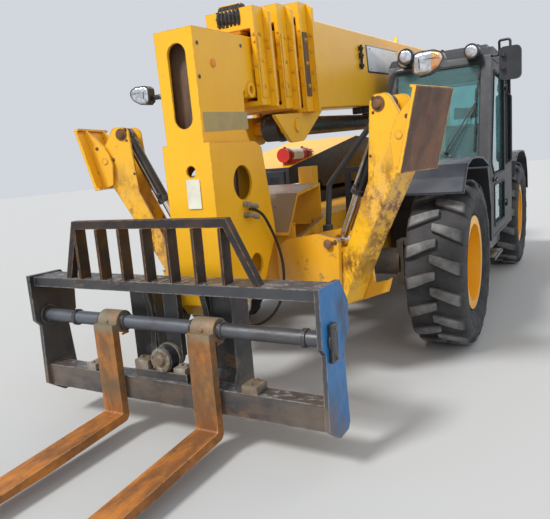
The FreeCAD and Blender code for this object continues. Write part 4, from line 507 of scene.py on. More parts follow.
def laid(shape, part, matrix):
    """Adds a part's mesh to a shape at a place."""
    bmesh.ops.transform(part, matrix=matrix, verts=part.verts)
    mesh = bpy.data.meshes.new("laid_part")
    part.to_mesh(mesh)
    part.free()
    shape.from_mesh(mesh)
    bpy.data.meshes.remove(mesh)


def standing(place, axis, roll=0.0):
    """A matrix that takes the origin to a place and +Z to an axis."""
    turn = Vector(axis).to_track_quat("Z", "Y").to_matrix().to_4x4()
    return Matrix.Translation(place) @ turn @ Matrix.Rotation(roll, 4, "Z")


def block(shape, low, high, edge=0.004, matrix=None):
    """A block between two corners with rounded edges."""
    low, high = Vector(low), Vector(high)
    part = bmesh.new()
    bmesh.ops.create_cube(part, size=1)
    bmesh.ops.scale(part, vec=high - low, verts=part.verts)
    bmesh.ops.translate(part, vec=(low + high) / 2, verts=part.verts)
    if edge:
        bmesh.ops.bevel(part, geom=part.edges[:], offset=edge, segments=2, profile=0.5, affect="EDGES",
                        material=-1)
    laid(shape, part, matrix or Matrix())


def flat_face(part, outline, corner=0.0):
    """A flat face from an outline, its corners rounded off."""
    corners = [part.verts.new((a, b, 0)) for a, b in outline]
    part.faces.new(corners)
    if corner:
        bmesh.ops.bevel(part, geom=corners, offset=corner, segments=4, profile=0.5, affect="VERTICES",
                        clamp_overlap=True, material=-1)
    part.faces.ensure_lookup_table()
    return part.faces[0]


def raise_faces(part, thick):
    """Gives flat faces a thickness up their Z and closes them."""
    raised = bmesh.ops.extrude_face_region(part, geom=part.faces[:])["geom"]
    bmesh.ops.translate(part, vec=(0, 0, thick), verts=[v for v in raised if isinstance(v, bmesh.types.BMVert)])
    bmesh.ops.recalc_face_normals(part, faces=part.faces)


def slab(shape, outline, thick, matrix, corner=0.0, edge=0.002):
    """A flat plate: an outline with rounded corners and a thickness up its own Z, laid at a place."""
    part = bmesh.new()
    flat_face(part, outline, corner)
    raise_faces(part, thick)
    if edge:
        rims = [e for e in part.edges if abs(e.verts[0].co.z - e.verts[1].co.z) < 1e-6]
        bmesh.ops.bevel(part, geom=rims, offset=edge, segments=2, profile=0.5, affect="EDGES", material=-1)
    laid(shape, part, matrix)


def turned(shape, profile, centre, axis, steps=24, closed=False):
    """A profile of along and out spun once round an axis through a centre."""
    part = bmesh.new()
    points = [part.verts.new((out, 0, along)) for along, out in profile]
    pairs = list(zip(points, points[1:])) + ([(points[-1], points[0])] if closed else [])
    edges = [part.edges.new(pair) for pair in pairs]
    bmesh.ops.spin(part, geom=points + edges, cent=(0, 0, 0), axis=(0, 0, 1), angle=2 * math.pi, steps=steps,
                   use_merge=True)
    bmesh.ops.remove_doubles(part, verts=part.verts, dist=1e-5)
    laid(shape, part, standing(centre, axis))


def drum(shape, centre, axis, radius, long, steps=24, edge=0.002):
    """A solid cylinder with rounded rims, from a centre along an axis."""
    turned(shape, [(0, 0), (0, radius - edge), (edge * 0.3, radius - edge * 0.3), (edge, radius),
                   (long - edge, radius), (long - edge * 0.3, radius - edge * 0.3), (long, radius - edge),
                   (long, 0)], centre, axis, steps)


def ring(shape, centre, axis, inner, outer, long, steps=32, edge=0.002):
    """A sleeve with rounded rims, from a centre along an axis."""
    turned(shape, [(0, inner), (0, outer - edge), (edge, outer), (long - edge, outer), (long, outer - edge),
                   (long, inner)], centre, axis, steps, closed=True)


def bolt(shape, at, axis, radius=0.012, high=0.009):
    """A hexagon head with a chamfer, on its washer."""
    part = bmesh.new()
    bmesh.ops.create_cone(part, cap_ends=True, segments=18, radius1=radius * 1.55, radius2=radius * 1.5,
                          depth=high * 0.25, matrix=Matrix.Translation((0, 0, high * 0.125)))
    bmesh.ops.create_cone(part, cap_ends=True, segments=6, radius1=radius, radius2=radius, depth=high * 0.8,
                          matrix=Matrix.Translation((0, 0, high * 0.6)))
    bmesh.ops.create_cone(part, cap_ends=True, segments=6, radius1=radius, radius2=radius * 0.8,
                          depth=high * 0.2, matrix=Matrix.Translation((0, 0, high * 1.1)))
    laid(shape, part, standing(at, axis, random.uniform(0, 1)))


def bolts(name, spots, axis, finish, body, radius=0.012, high=0.009):
    shape = bmesh.new()
    for spot in spots:
        bolt(shape, spot, axis, radius, high)
    return piece(name, shape, finish, body)


def smooth_line(name, points, radius, steps):
    """A round curve along a smooth line that its control points lead."""
    data = bpy.data.curves.new(name, "CURVE")
    data.dimensions = "3D"
    data.bevel_depth = radius
    data.bevel_resolution = 3
    data.use_fill_caps = True
    data.resolution_u = steps
    line = data.splines.new("NURBS")
    line.points.add(len(points) - 1)
    for control, point in zip(line.points, points):
        control.co = (*point, 1)
    line.order_u = 3
    line.use_endpoint_u = True
    return bpy.data.objects.new(name, data)


def pipe(name, points, radius, finish, body, steps=6):
    """A round bar or fixed hose along a smooth line, as a closed mesh."""
    rough = smooth_line(name + "_line", points, radius, steps)
    mesh = bpy.data.meshes.new_from_object(rough)
    bpy.data.objects.remove(rough)
    mesh.name = name
    made = bpy.data.objects.new(name, mesh)
    bpy.context.scene.collection.objects.link(made)
    for face in mesh.polygons:
        face.use_smooth = True
    return finished(made, finish, body)


# Running gear.
LUG_STATIONS = (  # across, along, out, lift, half width
    (-0.018, 0.074, 0.566, 0.044, 0.030), (0.045, 0.056, 0.566, 0.046, 0.036),
    (0.105, 0.034, 0.565, 0.046, 0.040), (0.160, 0.016, 0.561, 0.045, 0.044),
    (0.188, 0.008, 0.550, 0.034, 0.047), (0.199, 0.005, 0.524, 0.012, 0.049),
    (0.2015, 0.004, 0.484, 0.003, 0.05))
CARCASS = ((0.0, 0.570), (0.1, 0.569), (0.168, 0.562), (0.192, 0.549), (0.203, 0.526), (0.2055, 0.5),
           (0.203, 0.472), (0.2045, 0.468), (0.201, 0.462), (0.195, 0.438), (0.189, 0.414), (0.176, 0.389),
           (0.170, 0.380), (0.172, 0.372), (0.160, 0.360), (0.151, 0.349))
LUG_COUNT = 17


def lug(hand):
    """One tread bar on the left or right half, swept from the crown over the shoulder."""
    part = bmesh.new()
    last = None
    for across, along, out, lift, half in LUG_STATIONS:
        shoulder = 0.6 if across > 0.195 else 0.0
        corners = []
        for side, height, narrow in ((-1, -0.006, 1.12), (1, -0.006, 1.12), (1, lift, 0.82), (-1, lift, 0.82)):
            swing = (along + side * half * narrow) / out
            away = out + height * (1 - shoulder)
            corners.append(part.verts.new((hand * (across + height * shoulder), away * math.sin(swing),
                                           away * math.cos(swing))))
        loop = [part.edges.new((corners[count - 1], corners[count])) for count in range(4)]
        if last:
            bmesh.ops.bridge_loops(part, edges=last + loop)
        else:
            part.faces.new(corners)
        last = loop
    part.faces.new(corners)
    bmesh.ops.recalc_face_normals(part, faces=part.faces)
    sharp = [e for e in part.edges if len(e.link_faces) == 2 and e.calc_face_angle(0) > 0.6]
    bmesh.ops.bevel(part, geom=sharp, offset=0.005, segments=2, profile=0.5, affect="EDGES", material=-1)
    return part


def tyre(end, hand, axle):
    """A deep-lugged tyre: a rounded carcass with a ring of bars on each half."""
    side = 1 if hand == "left" else -1
    centre = Vector((side * TRACK_HALF, axle, TYRE_RADIUS))
    shape = bmesh.new()
    profile = [(-across, out) for across, out in reversed(CARCASS[1:])] + list(CARCASS)
    turned(shape, profile, centre, X, steps=72, closed=True)
    for half in (1, -1):
        start = math.pi / LUG_COUNT if half < 0 else 0.0
        for count in range(LUG_COUNT):
            spun = Matrix.Rotation(start + count * 2 * math.pi / LUG_COUNT, 4, "X")
            flip = Matrix.Scale(side, 4, X)
            laid(shape, lug(half), Matrix.Translation(centre) @ flip @ spun)
    made = piece("tyre_%s_%s" % (end, hand), shape, "tyre_rubber", "wheel_%s_%s" % (end, hand), 50)
    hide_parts("wheel_tyre_%s_%s" % (end, hand))


def wheel_fittings(end, hand, axle):
    """Nuts round the disc, a planetary cover with its own bolts and plug, and a valve."""
    side = 1 if hand == "left" else -1
    out = X * side
    centre = Vector((side * TRACK_HALF, axle, TYRE_RADIUS))
    body = "wheel_%s_%s" % (end, hand)
    nuts = bmesh.new()
    for count in range(10):
        away = Matrix.Rotation(count * math.pi / 5, 3, "X") @ Z
        bolt(nuts, centre + away * 0.19 + out * 0.015, out, 0.016, 0.017)
        drum(nuts, centre + away * 0.19 + out * 0.034, out, 0.008, 0.01, 12)
    piece("wheel_nuts_%s_%s" % (end, hand), nuts, "rusty_bolt", body)
    cover = bmesh.new()
    turned(cover, [(0, 0), (0, 0.124), (0.006, 0.127), (0.012, 0.124), (0.016, 0.1), (0.026, 0.094),
                   (0.034, 0.07), (0.036, 0)], centre + out * 0.0752, out, 36)
    for count in range(8):
        away = Matrix.Rotation(count * math.pi / 4 + 0.2, 3, "X") @ Z
        bolt(cover, centre + away * 0.111 + out * 0.0885, out, 0.008, 0.006)
    bolt(cover, centre + Z * 0.045 + out * 0.111, out, 0.011, 0.008)
    piece("hub_cover_%s_%s" % (end, hand), cover, "rim_yellow", body)
    valve = bmesh.new()
    drum(valve, centre + Vector((side * 0.005, 0.262, 0.1)), out + Vector((0, 0.3, 0.1)), 0.006, 0.05, 12)
    piece("tyre_valve_%s_%s" % (end, hand), valve, "black_rubber", body)


def running_gear():
    for end, axle in (("front", FRONT_AXLE), ("rear", REAR_AXLE)):
        turn = 1 if end == "front" else -1
        for hand, side in (("left", 1), ("right", -1)):
            tyre(end, hand, axle)
            wheel_fittings(end, hand, axle)
            kingpin = Vector((side * 0.76, axle, 0))
            caps = bmesh.new()
            for high, up in ((TYRE_RADIUS + 0.1755, Z), (TYRE_RADIUS - 0.1755, -Z)):
                drum(caps, kingpin + Z * high, up, 0.05, 0.012, 24, 0.004)
                for count in range(4):
                    away = Matrix.Rotation(count * math.pi / 2 + 0.785, 3, "Z") @ X
                    bolt(caps, kingpin + away * 0.036 + Z * high + up * 0.012, up, 0.007, 0.006)
            piece("kingpin_caps_%s_%s" % (end, hand), caps, "cast_iron", "chassis")
        housing = bmesh.new()
        face = Vector((0, axle + turn * 0.26, TYRE_RADIUS))
        drum(housing, face, Y * turn, 0.085, 0.018, 32, 0.004)
        drum(housing, face + Y * turn * 0.018, Y * turn, 0.04, 0.03, 24)
        for count in range(8):
            away = Matrix.Rotation(count * math.pi / 4, 3, "Y") @ X
            bolt(housing, face + away * 0.07 + Y * turn * 0.018, Y * turn, 0.008, 0.007)
        for side in (1, -1):
            for count in range(10):
                away = Matrix.Rotation(count * math.pi / 5, 3, "X") @ Y
                bolt(housing, Vector((side * 0.125, axle, TYRE_RADIUS)) + away * 0.118, X * side, 0.008, 0.007)
        piece("axle_flange_%s" % end, housing, "cast_iron", "chassis")


# Boom, its head and its rams.
def on_boom(across, along, up):
    """A place in the boom's own frame, turned to the frame's."""
    return PIVOT + Matrix.Rotation(BOOM_RISE, 3, "X") @ Vector((across, along, up))


def boom_matrix(across, along, up, axis):
    """Lays a part's Z along a boom axis at a place on the boom."""
    return Matrix.Translation(on_boom(across, along, up)) @ Matrix.Rotation(BOOM_RISE, 4, "X") @ standing(
        (0, 0, 0), axis)


def boom_fittings():
    """Bolts and wear pads on the section mouths, the hose roller, the blank sign and the side pads."""
    ahead = Matrix.Rotation(BOOM_RISE, 3, "X") @ -Y
    for order, body in enumerate(("boom", "boom_second", "boom_third")):
        half = 0.2 - 0.026 * order
        front = BOOM_FRONT + COLLAR_PITCH * order
        heads = bmesh.new()
        for side in (1, -1):
            for up in (0.26 - 0.03 * order, 0.16, 0.02, -0.09):
                bolt(heads, on_boom(side * (half + 0.008), front, up), ahead, 0.0075, 0.006)
                bolt(heads, on_boom(side * (half + 0.04), front + COLLAR_LONG, up - 0.03), ahead, 0.0095, 0.007)
            for up in (0.2, 0.05, -0.1):
                bolt(heads, on_boom(side * (half + 0.0255), front + 0.055, up), X * side, 0.009, 0.007)
        for across in (-0.1, 0, 0.1) if order else ():
            top = 0.436 - 0.038 * order
            bolt(heads, on_boom(across, front + 0.055, top), Matrix.Rotation(BOOM_RISE, 3, "X") @ Z, 0.011, 0.008)
        piece("%s_bolts" % body, heads, "yellow_paint", body)
        pads = bmesh.new()
        for side in (1, -1):
            outline = [(-0.038, -0.17), (0.038, -0.17), (0.038, 0.25 - 0.03 * order), (-0.038, 0.25 - 0.03 * order)]
            laid_at = Matrix.Translation(on_boom(side * (half + 0.0203), front + 0.055, 0)) @ Matrix.Rotation(
                BOOM_RISE, 4, "X") @ Matrix(((0, 0, side, 0), (side, 0, 0, 0), (0, 1, 0, 0), (0, 0, 0, 1)))
            slab(pads, outline, 0.005, laid_at, 0.008)
        piece("%s_pads" % body, pads, "wear_pad_and_nose_shade" if order == 0 else "yellow_paint", body)
    hose_roller()
    side_fittings()


def hose_roller():
    """Six hoses side by side over the roller on the third section, and the roller's end nuts."""
    centre = on_boom(0, BOOM_FRONT + 2 * COLLAR_PITCH + 0.06, 0.247 + 0.066)
    shape = bmesh.new()
    for count in range(6):
        middle = -0.086 + count * 0.0275
        ring(shape, centre + X * middle, X, 0.05, 0.078, 0.0262, 48, 0.009)
        for notch in range(12):
            spin = Matrix.Rotation(notch * math.pi / 6 + 0.1 * count, 3, "X")
            spot = centre + X * (middle + 0.012) + spin @ (Z * 0.076)
            turn = Matrix.Translation(spot) @ Matrix.Rotation(notch * math.pi / 6 + 0.1 * count, 4, "X")
            block(shape, (-0.0115, -0.004, -0.004), (0.0115, 0.004, 0.004), 0.002, turn)
    piece("hose_roller_band", shape, "black_rubber", "boom_third")
    nuts = bmesh.new()
    for side in (-0.1155, 0.0805):
        out = X if side > 0 else -X
        bolt(nuts, centre + X * side, out, 0.016, 0.014)
    piece("roller_nuts", nuts, "zinc_bolt", "boom_third")
    guard = bmesh.new()
    block(guard, (-0.1, -0.012, -0.003), (0.065, 0.012, 0.003), 0.002,
          Matrix.Translation(on_boom(0, BOOM_FRONT + 2 * COLLAR_PITCH + 0.06, 0.247 + 0.15)))
    for across in (-0.094, 0.058):
        block(guard, (across - 0.004, -0.012, -0.045), (across + 0.004, 0.012, 0.002), 0.002,
              Matrix.Translation(on_boom(0, BOOM_FRONT + 2 * COLLAR_PITCH + 0.06, 0.247 + 0.15)))
    piece("roller_guard", guard, "yellow_paint", "boom_third")


def side_fittings():
    """The blank sign on the boom's left, its mirror on the right, a hose clamp, and the tray below."""
    for side in (1, -1):
        frame_bits = bmesh.new()
        sign = bmesh.new()
        to_side = Matrix.Translation(PIVOT) @ Matrix.Rotation(BOOM_RISE, 4, "X") @ Matrix(
            ((0, 0, side, side * 0.2005), (side, 0, 0, 0), (0, 1, 0, 0), (0, 0, 0, 1)))
        low, high, near, far = 0.03, 0.265, -2.835, -1.9
        outline = [(side * near + side * 0.03, low), (side * far, low), (side * far, high), (side * near, high)]
        slab(frame_bits, outline, 0.004, to_side, 0.012)
        inside = [(side * (near + 0.045), low + 0.013), (side * (far - 0.013), low + 0.013),
                  (side * (far - 0.013), high - 0.013), (side * (near + 0.015), high - 0.013)]
        slab(sign, inside, 0.0065, to_side, 0.01, 0.001)
        for along in (near + 0.09, far - 0.05):
            for up in (low + 0.03, high - 0.03):
                bolt(frame_bits, on_boom(side * 0.2068, along, up), X * side, 0.005, 0.004)
        piece("sign_frame_%s" % ("left" if side > 0 else "right"), frame_bits, "black_paint", "boom")
        piece("sign_plate_%s" % ("left" if side > 0 else "right"), sign, "pale_plate", "boom")
    clamp = bmesh.new()
    for up, long in ((0.22, 0.03), (0.16, 0.045), (0.08, 0.035)):
        block(clamp, (0, -0.025, -long / 2), (0.028, 0.025, long / 2), 0.006,
              Matrix.Translation(on_boom(0.2003, -3.0, up)))
        bolt(clamp, on_boom(0.2285, -3.0, up), X, 0.009, 0.008)
    drum(clamp, on_boom(0.215, -3.0, 0.05), Z, 0.011, 0.2, 16)
    piece("side_clamp", clamp, "black_rubber", "boom")
    tray = bmesh.new()
    block(tray, (0.06, -2.9, -0.314), (0.145, -2.15, -0.254), 0.01,
          Matrix.Translation(PIVOT) @ Matrix.Rotation(BOOM_RISE, 4, "X"))
    block(tray, (0.05, -2.62, -0.33), (0.156, -2.54, -0.252), 0.006,
          Matrix.Translation(PIVOT) @ Matrix.Rotation(BOOM_RISE, 4, "X"))
    piece("hose_tray", tray, "black_paint", "boom")
    strap = bmesh.new()
    block(strap, (0.04, -2.48, -0.334), (0.165, -2.36, -0.254), 0.004,
          Matrix.Translation(PIVOT) @ Matrix.Rotation(BOOM_RISE, 4, "X"))
    piece("tray_strap", strap, "yellow_paint", "boom")
    wedge = bmesh.new()
    slab(wedge, [(0.0, 0.0), (0.0, 0.1), (-0.045, 0.02), (-0.06, 0.0)], 0.05,
         Matrix.Translation(on_boom(0.06, -1.5, 0.3545)) @ Matrix.Rotation(BOOM_RISE, 4, "X") @ Matrix(
             ((0, 0, 1, 0), (1, 0, 0, 0), (0, 1, 0, 0), (0, 0, 0, 1))), 0.004)
    piece("boom_stop", wedge, "yellow_paint", "boom")


def nose_fittings():
    """The blank strip and label of the boom head, its reflector, plugs and hose elbow, caps on the tilt pins, and
    inside it ribs, rods and a brown plate of painted shade.
    """
    face = FRONT_AXLE - 1.775
    strips = bmesh.new()
    for side in (1, -1):
        flat = Matrix(((0, 0, side, side * 0.1253), (side, 0, 0, 0), (0, 1, 0, 0), (0, 0, 0, 1)))
        slab(strips, [(side * -2.14, 1.645), (side * -1.69, 1.664), (side * -1.69, 1.765), (side * -2.14, 1.748)],
             0.0012, flat, 0.0, 0.0)
    piece("nose_strips", strips, "film_strip", "boom_inner")
    spot = bmesh.new()
    for side in (1, -1):
        drum(spot, (side * 0.1252, -2.001, 2.012), X * side, 0.024, 0.005, 32, 0.002)
    piece("nose_reflectors", spot, "orange_spot", "boom_inner")
    # Inside the nose: a brown plate behind the front wall, which is painted shade for the dark hollow, and ribs and
    # rods for the parts seen in it.
    inside = bmesh.new()
    block(inside, (-0.1, -2.1, 1.64), (0.105, -2.094, 2.14), 0.002)
    for side in (1, -1):
        block(inside, (side * 0.04 - 0.003, -2.0, 1.22), (side * 0.04 + 0.003, -1.72, 1.49), 0.002)
    for step in range(4):
        drum(inside, (0.044, -1.95 + step * 0.055, 1.225), Z + Y * 0.15, 0.011, 0.26, 14)
    piece("nose_shade_plate_and_ribs", inside, "wear_pad_and_nose_shade", "boom_inner")
    label = bmesh.new()
    upright = Matrix(((1, 0, 0, 0.026), (0, 0, -1, face - 0.0003), (0, 1, 0, 1.318), (0, 0, 0, 1)))
    slab(label, [(-0.045, -0.08), (0.045, -0.08), (0.045, 0.08), (-0.045, 0.08)], 0.0012, upright, 0.006, 0.0)
    piece("nose_label", label, "cream_label", "boom_inner")
    plugs = bmesh.new()
    for y, z in ((-2.135, 2.1), (-2.14, 1.93), (-1.7, 2.14)):
        for side in (1, -1):
            drum(plugs, (side * 0.1252, y, z), X * side, 0.011, 0.004, 16)
    piece("nose_plugs", plugs, "black_paint", "boom_inner")
    pins = bmesh.new()
    for side in (1, -1):
        spot = Vector((side * 0.226, FRONT_AXLE - 1.66, 0.672))
        drum(pins, spot, X * side, 0.042, 0.01, 32, 0.003)
        bolt(pins, spot + X * side * 0.01, X * side, 0.014, 0.01)
    piece("tilt_pin_caps", pins, "zinc_bolt", "carriage")
    elbow = bmesh.new()
    for shift, z in ((0, 1.229), (0.0, 1.165)):
        drum(elbow, (0.16, -1.864, z), X, 0.019, 0.02, 6, 0.002)
        drum(elbow, (0.18, -1.864, z), X, 0.013, 0.03, 16, 0.003)
        drum(elbow, (0.2, -1.87, z), Vector((0, 1, -0.25)), 0.013, 0.06, 16, 0.003)
        drum(elbow, (0.2, -1.812, z - 0.0145), Vector((0, 1, -0.25)), 0.0165, 0.026, 6, 0.002)
    piece("nose_elbows", elbow, "pale_zinc", "boom_inner")


def lift_fittings():
    """Gland rings and collars on the lift ram."""
    low, high = (Vector(corner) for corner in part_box("lift_barrel"))
    front = Vector((0, low.y + 0.07, low.z + 0.07))
    back = Vector((0, high.y, high.z - 0.07))
    along = (back - front).normalized()
    shape = bmesh.new()
    ring(shape, back - along * 0.045, along, 0.069, 0.082, 0.04, 40, 0.004)
    ring(shape, back - along * 0.11, along, 0.069, 0.077, 0.03, 40, 0.004)
    ring(shape, front + along * 0.12, along, 0.069, 0.08, 0.03, 40, 0.004)
    piece("lift_gland", shape, "ram_black", "lift_barrel")


# Stabilisers.
def on_leg(across, depth, high, side=1):
    """A place beside a leg, in its own upright plane before the legs are turned outwards."""
    out = LEG_PIVOT + Matrix.Rotation(-LEG_TURN, 3, "Z") @ Vector((across - LEG_PIVOT.x, depth, 0))
    return Vector((side * out.x, out.y, high))


def leg_direction(vector, side=1):
    turned_vector = Matrix.Rotation(-LEG_TURN, 3, "Z") @ Vector(vector)
    return Vector((side * turned_vector.x, turned_vector.y, turned_vector.z))


def stabiliser_fittings():
    """Collars and keepers on the pins, and the ports and pipe of each ram."""
    for hand, side in (("left", 1), ("right", -1)):
        ahead = leg_direction(-Y, side)
        leg = "stabiliser_leg_%s" % hand
        pins = bmesh.new()
        for across, high, face, radius in ((0.966, 1.724, -0.099, 0.022), (1.1, 1.55, -0.099, 0.022),
                                           (0.52, 0.64, -0.13, 0.036)):
            spot = on_leg(across, face, high, side)
            if high > 1:
                ring(pins, spot, ahead, radius + 0.001, 0.041, 0.007, 28)
                drum(pins, spot + ahead * 0.014, ahead, 0.0235, 0.007, 24, 0.003)
            else:
                drum(pins, on_leg(across, -0.1402, high, side), ahead, 0.043, 0.009, 28, 0.003)
        bolt(pins, on_leg(0.966 - 0.033, -0.099, 1.724 + 0.03, side), ahead, 0.009, 0.008)
        bolt(pins, on_leg(1.1 - 0.05, -0.099, 1.55 + 0.008, side), ahead, 0.009, 0.008)
        for across, high in ((0.93, 1.68), (0.9, 1.45)):
            bolt(pins, on_leg(across, -0.099, high, side), ahead, 0.006, 0.005)
        piece("leg_pins_%s" % hand, pins, "rusty_bolt", leg)
        frame_pin = bmesh.new()
        drum(frame_pin, on_leg(0.6, -0.1442, 0.95, side), ahead, 0.03, 0.008, 28, 0.003)
        bolt(frame_pin, on_leg(0.645, -0.1305, 0.962, side), ahead, 0.009, 0.008)
        block(frame_pin, (-0.03, -0.01, -0.002), (0.03, 0.01, 0.003), 0.002,
              Matrix.Translation(on_leg(0.625, -0.1335, 0.957, side)) @ Matrix.Rotation(-side * LEG_TURN, 4, "Z")
              @ Matrix.Rotation(math.pi / 2, 4, "X"))
        piece("frame_pins_%s" % hand, frame_pin, "rusty_bolt", "chassis")
        top = on_leg(0.966, 0, 1.724, side)
        ear = on_leg(0.6, 0, 0.95, side)
        down = (ear - top).normalized()
        barrel = bmesh.new()
        ring(barrel, top + down * 0.505, down, 0.0265, 0.047, 0.035, 32, 0.004)
        ring(barrel, top + down * 0.06, down, 0.0415, 0.0465, 0.025, 32, 0.003)
        for reach in (0.085, 0.48):
            drum(barrel, top + down * reach + ahead * 0.038, ahead, 0.014, 0.022, 16, 0.003)
            drum(barrel, top + down * reach + ahead * 0.056, ahead, 0.011, 0.014, 6, 0.002)
        piece("ram_ports_%s" % hand, barrel, "ram_black", "stabiliser_barrel_%s" % hand)
        line = [top + down * 0.085 + ahead * 0.06, top + down * 0.1 + ahead * 0.068,
                top + down * 0.16 + ahead * 0.06, top + down * 0.3 + ahead * 0.056,
                top + down * 0.42 + ahead * 0.06, top + down * 0.468 + ahead * 0.068,
                top + down * 0.48 + ahead * 0.06]
        pipe("ram_pipe_%s" % hand, line, 0.007, "pale_zinc", "stabiliser_barrel_%s" % hand)
        foot_bolts = bmesh.new()
        for cheek in (-0.125, 0.107):
            for across, high in ((1.1 + 0.05, 1.55 + 0.09), (1.1 + 0.07, 1.55 - 0.08)):
                bolt(foot_bolts, on_leg(across, cheek, high, side), ahead, 0.008, 0.006)
        piece("foot_bolts_%s" % hand, foot_bolts, "rusty_bolt", "stabiliser_foot_%s" % hand)


# The fork carriage.
def carriage_fittings():
    """The hub on the middle lever, collars on the shaft, clamps on the low bar and bolts."""
    hub = bmesh.new()
    face = Vector((-0.067, FRONT_AXLE - 2.085, 0.464))
    turned(hub, [(0, 0), (0, 0.064), (0.006, 0.066), (0.012, 0.064), (0.014, 0.05), (0.01, 0.044), (0.008, 0.03),
                 (0.02, 0.026), (0.024, 0.022), (0.024, 0)], face, -Y, 40)
    for count in range(6):
        away = Matrix.Rotation(count * math.pi / 3 + 0.3, 3, "Y") @ X
        bolt(hub, face + away * 0.056 - Y * 0.012, -Y, 0.0065, 0.006)
    piece("lever_flange", hub, "pale_zinc", "carriage")
    teeth = bmesh.new()
    turned(teeth, [(0, 0.071), (0, 0.078), (0.03, 0.078), (0.03, 0.071)], face + Y * 0.06, Y, 40, closed=True)
    block(teeth, (-0.262, FRONT_AXLE - 2.0885, 0.3905), (-0.165, FRONT_AXLE - 2.0, 0.45), 0.008)
    block(teeth, (0.005, FRONT_AXLE - 2.0885, 0.3905), (0.085, FRONT_AXLE - 2.0, 0.43), 0.008)
    for across in (-0.24, -0.19, 0.03, 0.065):
        bolt(teeth, (across, FRONT_AXLE - 2.045, 0.45 if across < 0 else 0.43), Z, 0.01, 0.009)
    piece("lever_clamps", teeth, "pale_zinc", "carriage")
    collars = bmesh.new()
    for across in (-0.70, -0.492, -0.322, 0.146, 0.318, 0.78):
        ring(collars, (across, SHAFT.y, SHAFT.z), X, 0.0375, 0.047, 0.024, 40, 0.003)
        bolt(collars, (across + 0.012, SHAFT.y - 0.033, SHAFT.z + 0.033), Vector((0, -1, 1)), 0.006, 0.005)
    piece("shaft_collars", collars, "black_paint", "carriage")
    bar = bmesh.new()
    for low, high in ((0.44, 0.53), (-0.62, -0.55)):
        block(bar, (low, FRONT_AXLE - 2.106, 0.3505), (high, FRONT_AXLE - 2.0, 0.395), 0.006)
        for y in (-2.085, -2.02):
            bolt(bar, ((low + high) / 2, FRONT_AXLE + y, 0.395), Z, 0.009, 0.008)
    piece("bar_clamps", bar, "pale_zinc", "carriage")
    ends = bmesh.new()
    for across, out in ((-0.9402, X), (0.8928, -X)):
        ring(ends, (across, SHAFT.y, SHAFT.z), out, 0.0375, 0.062, 0.012, 40, 0.003)
    for across, out in ((-0.9652, -X), (0.9182, X)):
        drum(ends, (across, SHAFT.y, SHAFT.z), out, 0.045, 0.012, 40, 0.004)
        block(ends, (min(across, across + out.x * 0.022), SHAFT.y - 0.035, SHAFT.z - 0.1),
              (max(across, across + out.x * 0.022), SHAFT.y + 0.03, SHAFT.z + 0.08), 0.006)
        for high in (-0.08, 0.06):
            bolt(ends, (across + out.x * 0.022, SHAFT.y, SHAFT.z + high), out, 0.011, 0.009)
    piece("shaft_ends", ends, "black_paint", "carriage")
    seams = bmesh.new()
    for count in range(8):
        across = -0.56 + count * 0.14
        block(seams, (across, FRONT_AXLE - 2.119, 0.8995), (across + 0.016, FRONT_AXLE - 2.05, 0.903), 0.001)
    for low, high in (((-0.94, -2.4865, 0.842), (0.893, -2.482, 0.847)), ((-0.94, -2.4875, 0.349), (0.893, -2.483, 0.354))):
        block(seams, low, high, 0.002)
    piece("carriage_seams", seams, "carriage_paint", "carriage")
    for hand, side in (("left", 0.245), ("right", -0.395)):
        weld = bmesh.new()
        for across in (-0.0695, 0.0665):
            block(weld, (side + across, SHAFT.y - 0.03, SHAFT.z - 0.072), (side + across + 0.003, SHAFT.y + 0.025,
                                                                            SHAFT.z - 0.06), 0.001)
        drum(weld, (side, SHAFT.y - 0.058, SHAFT.z + 0.012), -Y, 0.009, 0.01, 16, 0.003)
        piece("fork_details_%s" % hand, weld, "fork_steel", "fork_%s" % hand)


# The cab.
SCREEN_LOW = Vector((0, FRONT_AXLE + 0.662, 1.331))
SCREEN_HIGH = Vector((0, FRONT_AXLE + 0.852, 2.131))


def window_frame(shape, outline, wide, thick, matrix, corner=0.02):
    """A rubber frame that follows a window's edge: an outline, inset and raised."""
    part = bmesh.new()
    flat = flat_face(part, outline, corner)
    bmesh.ops.inset_region(part, faces=[flat], thickness=wide, use_even_offset=True, use_boundary=True)
    bmesh.ops.delete(part, geom=[flat], context="FACES_ONLY")
    raise_faces(part, thick)
    laid(shape, part, matrix)


def side_matrix(across, facing):
    """Lays an outline of Y and Z on a side face: X of the outline runs to the rear."""
    return Matrix(((0, 0, facing, across), (facing, 0, 0, 0), (0, 1, 0, 0), (0, 0, 0, 1)))


def side_outline(points, facing):
    """Outline points of Y and Z, turned for a face that looks left or right."""
    return [(facing * y, z) for y, z in (points if facing > 0 else points[::-1])]


def screen_matrix():
    """Lays an outline on the windscreen: X across, Y up the glass, Z ahead."""
    up = (SCREEN_HIGH - SCREEN_LOW).normalized()
    ahead = X.cross(up).normalized()
    return Matrix(((1, up.x, ahead.x, 0), (0, up.y, ahead.y, SCREEN_LOW.y), (0, up.z, ahead.z, SCREEN_LOW.z),
                   (0, 0, 0, 1)))


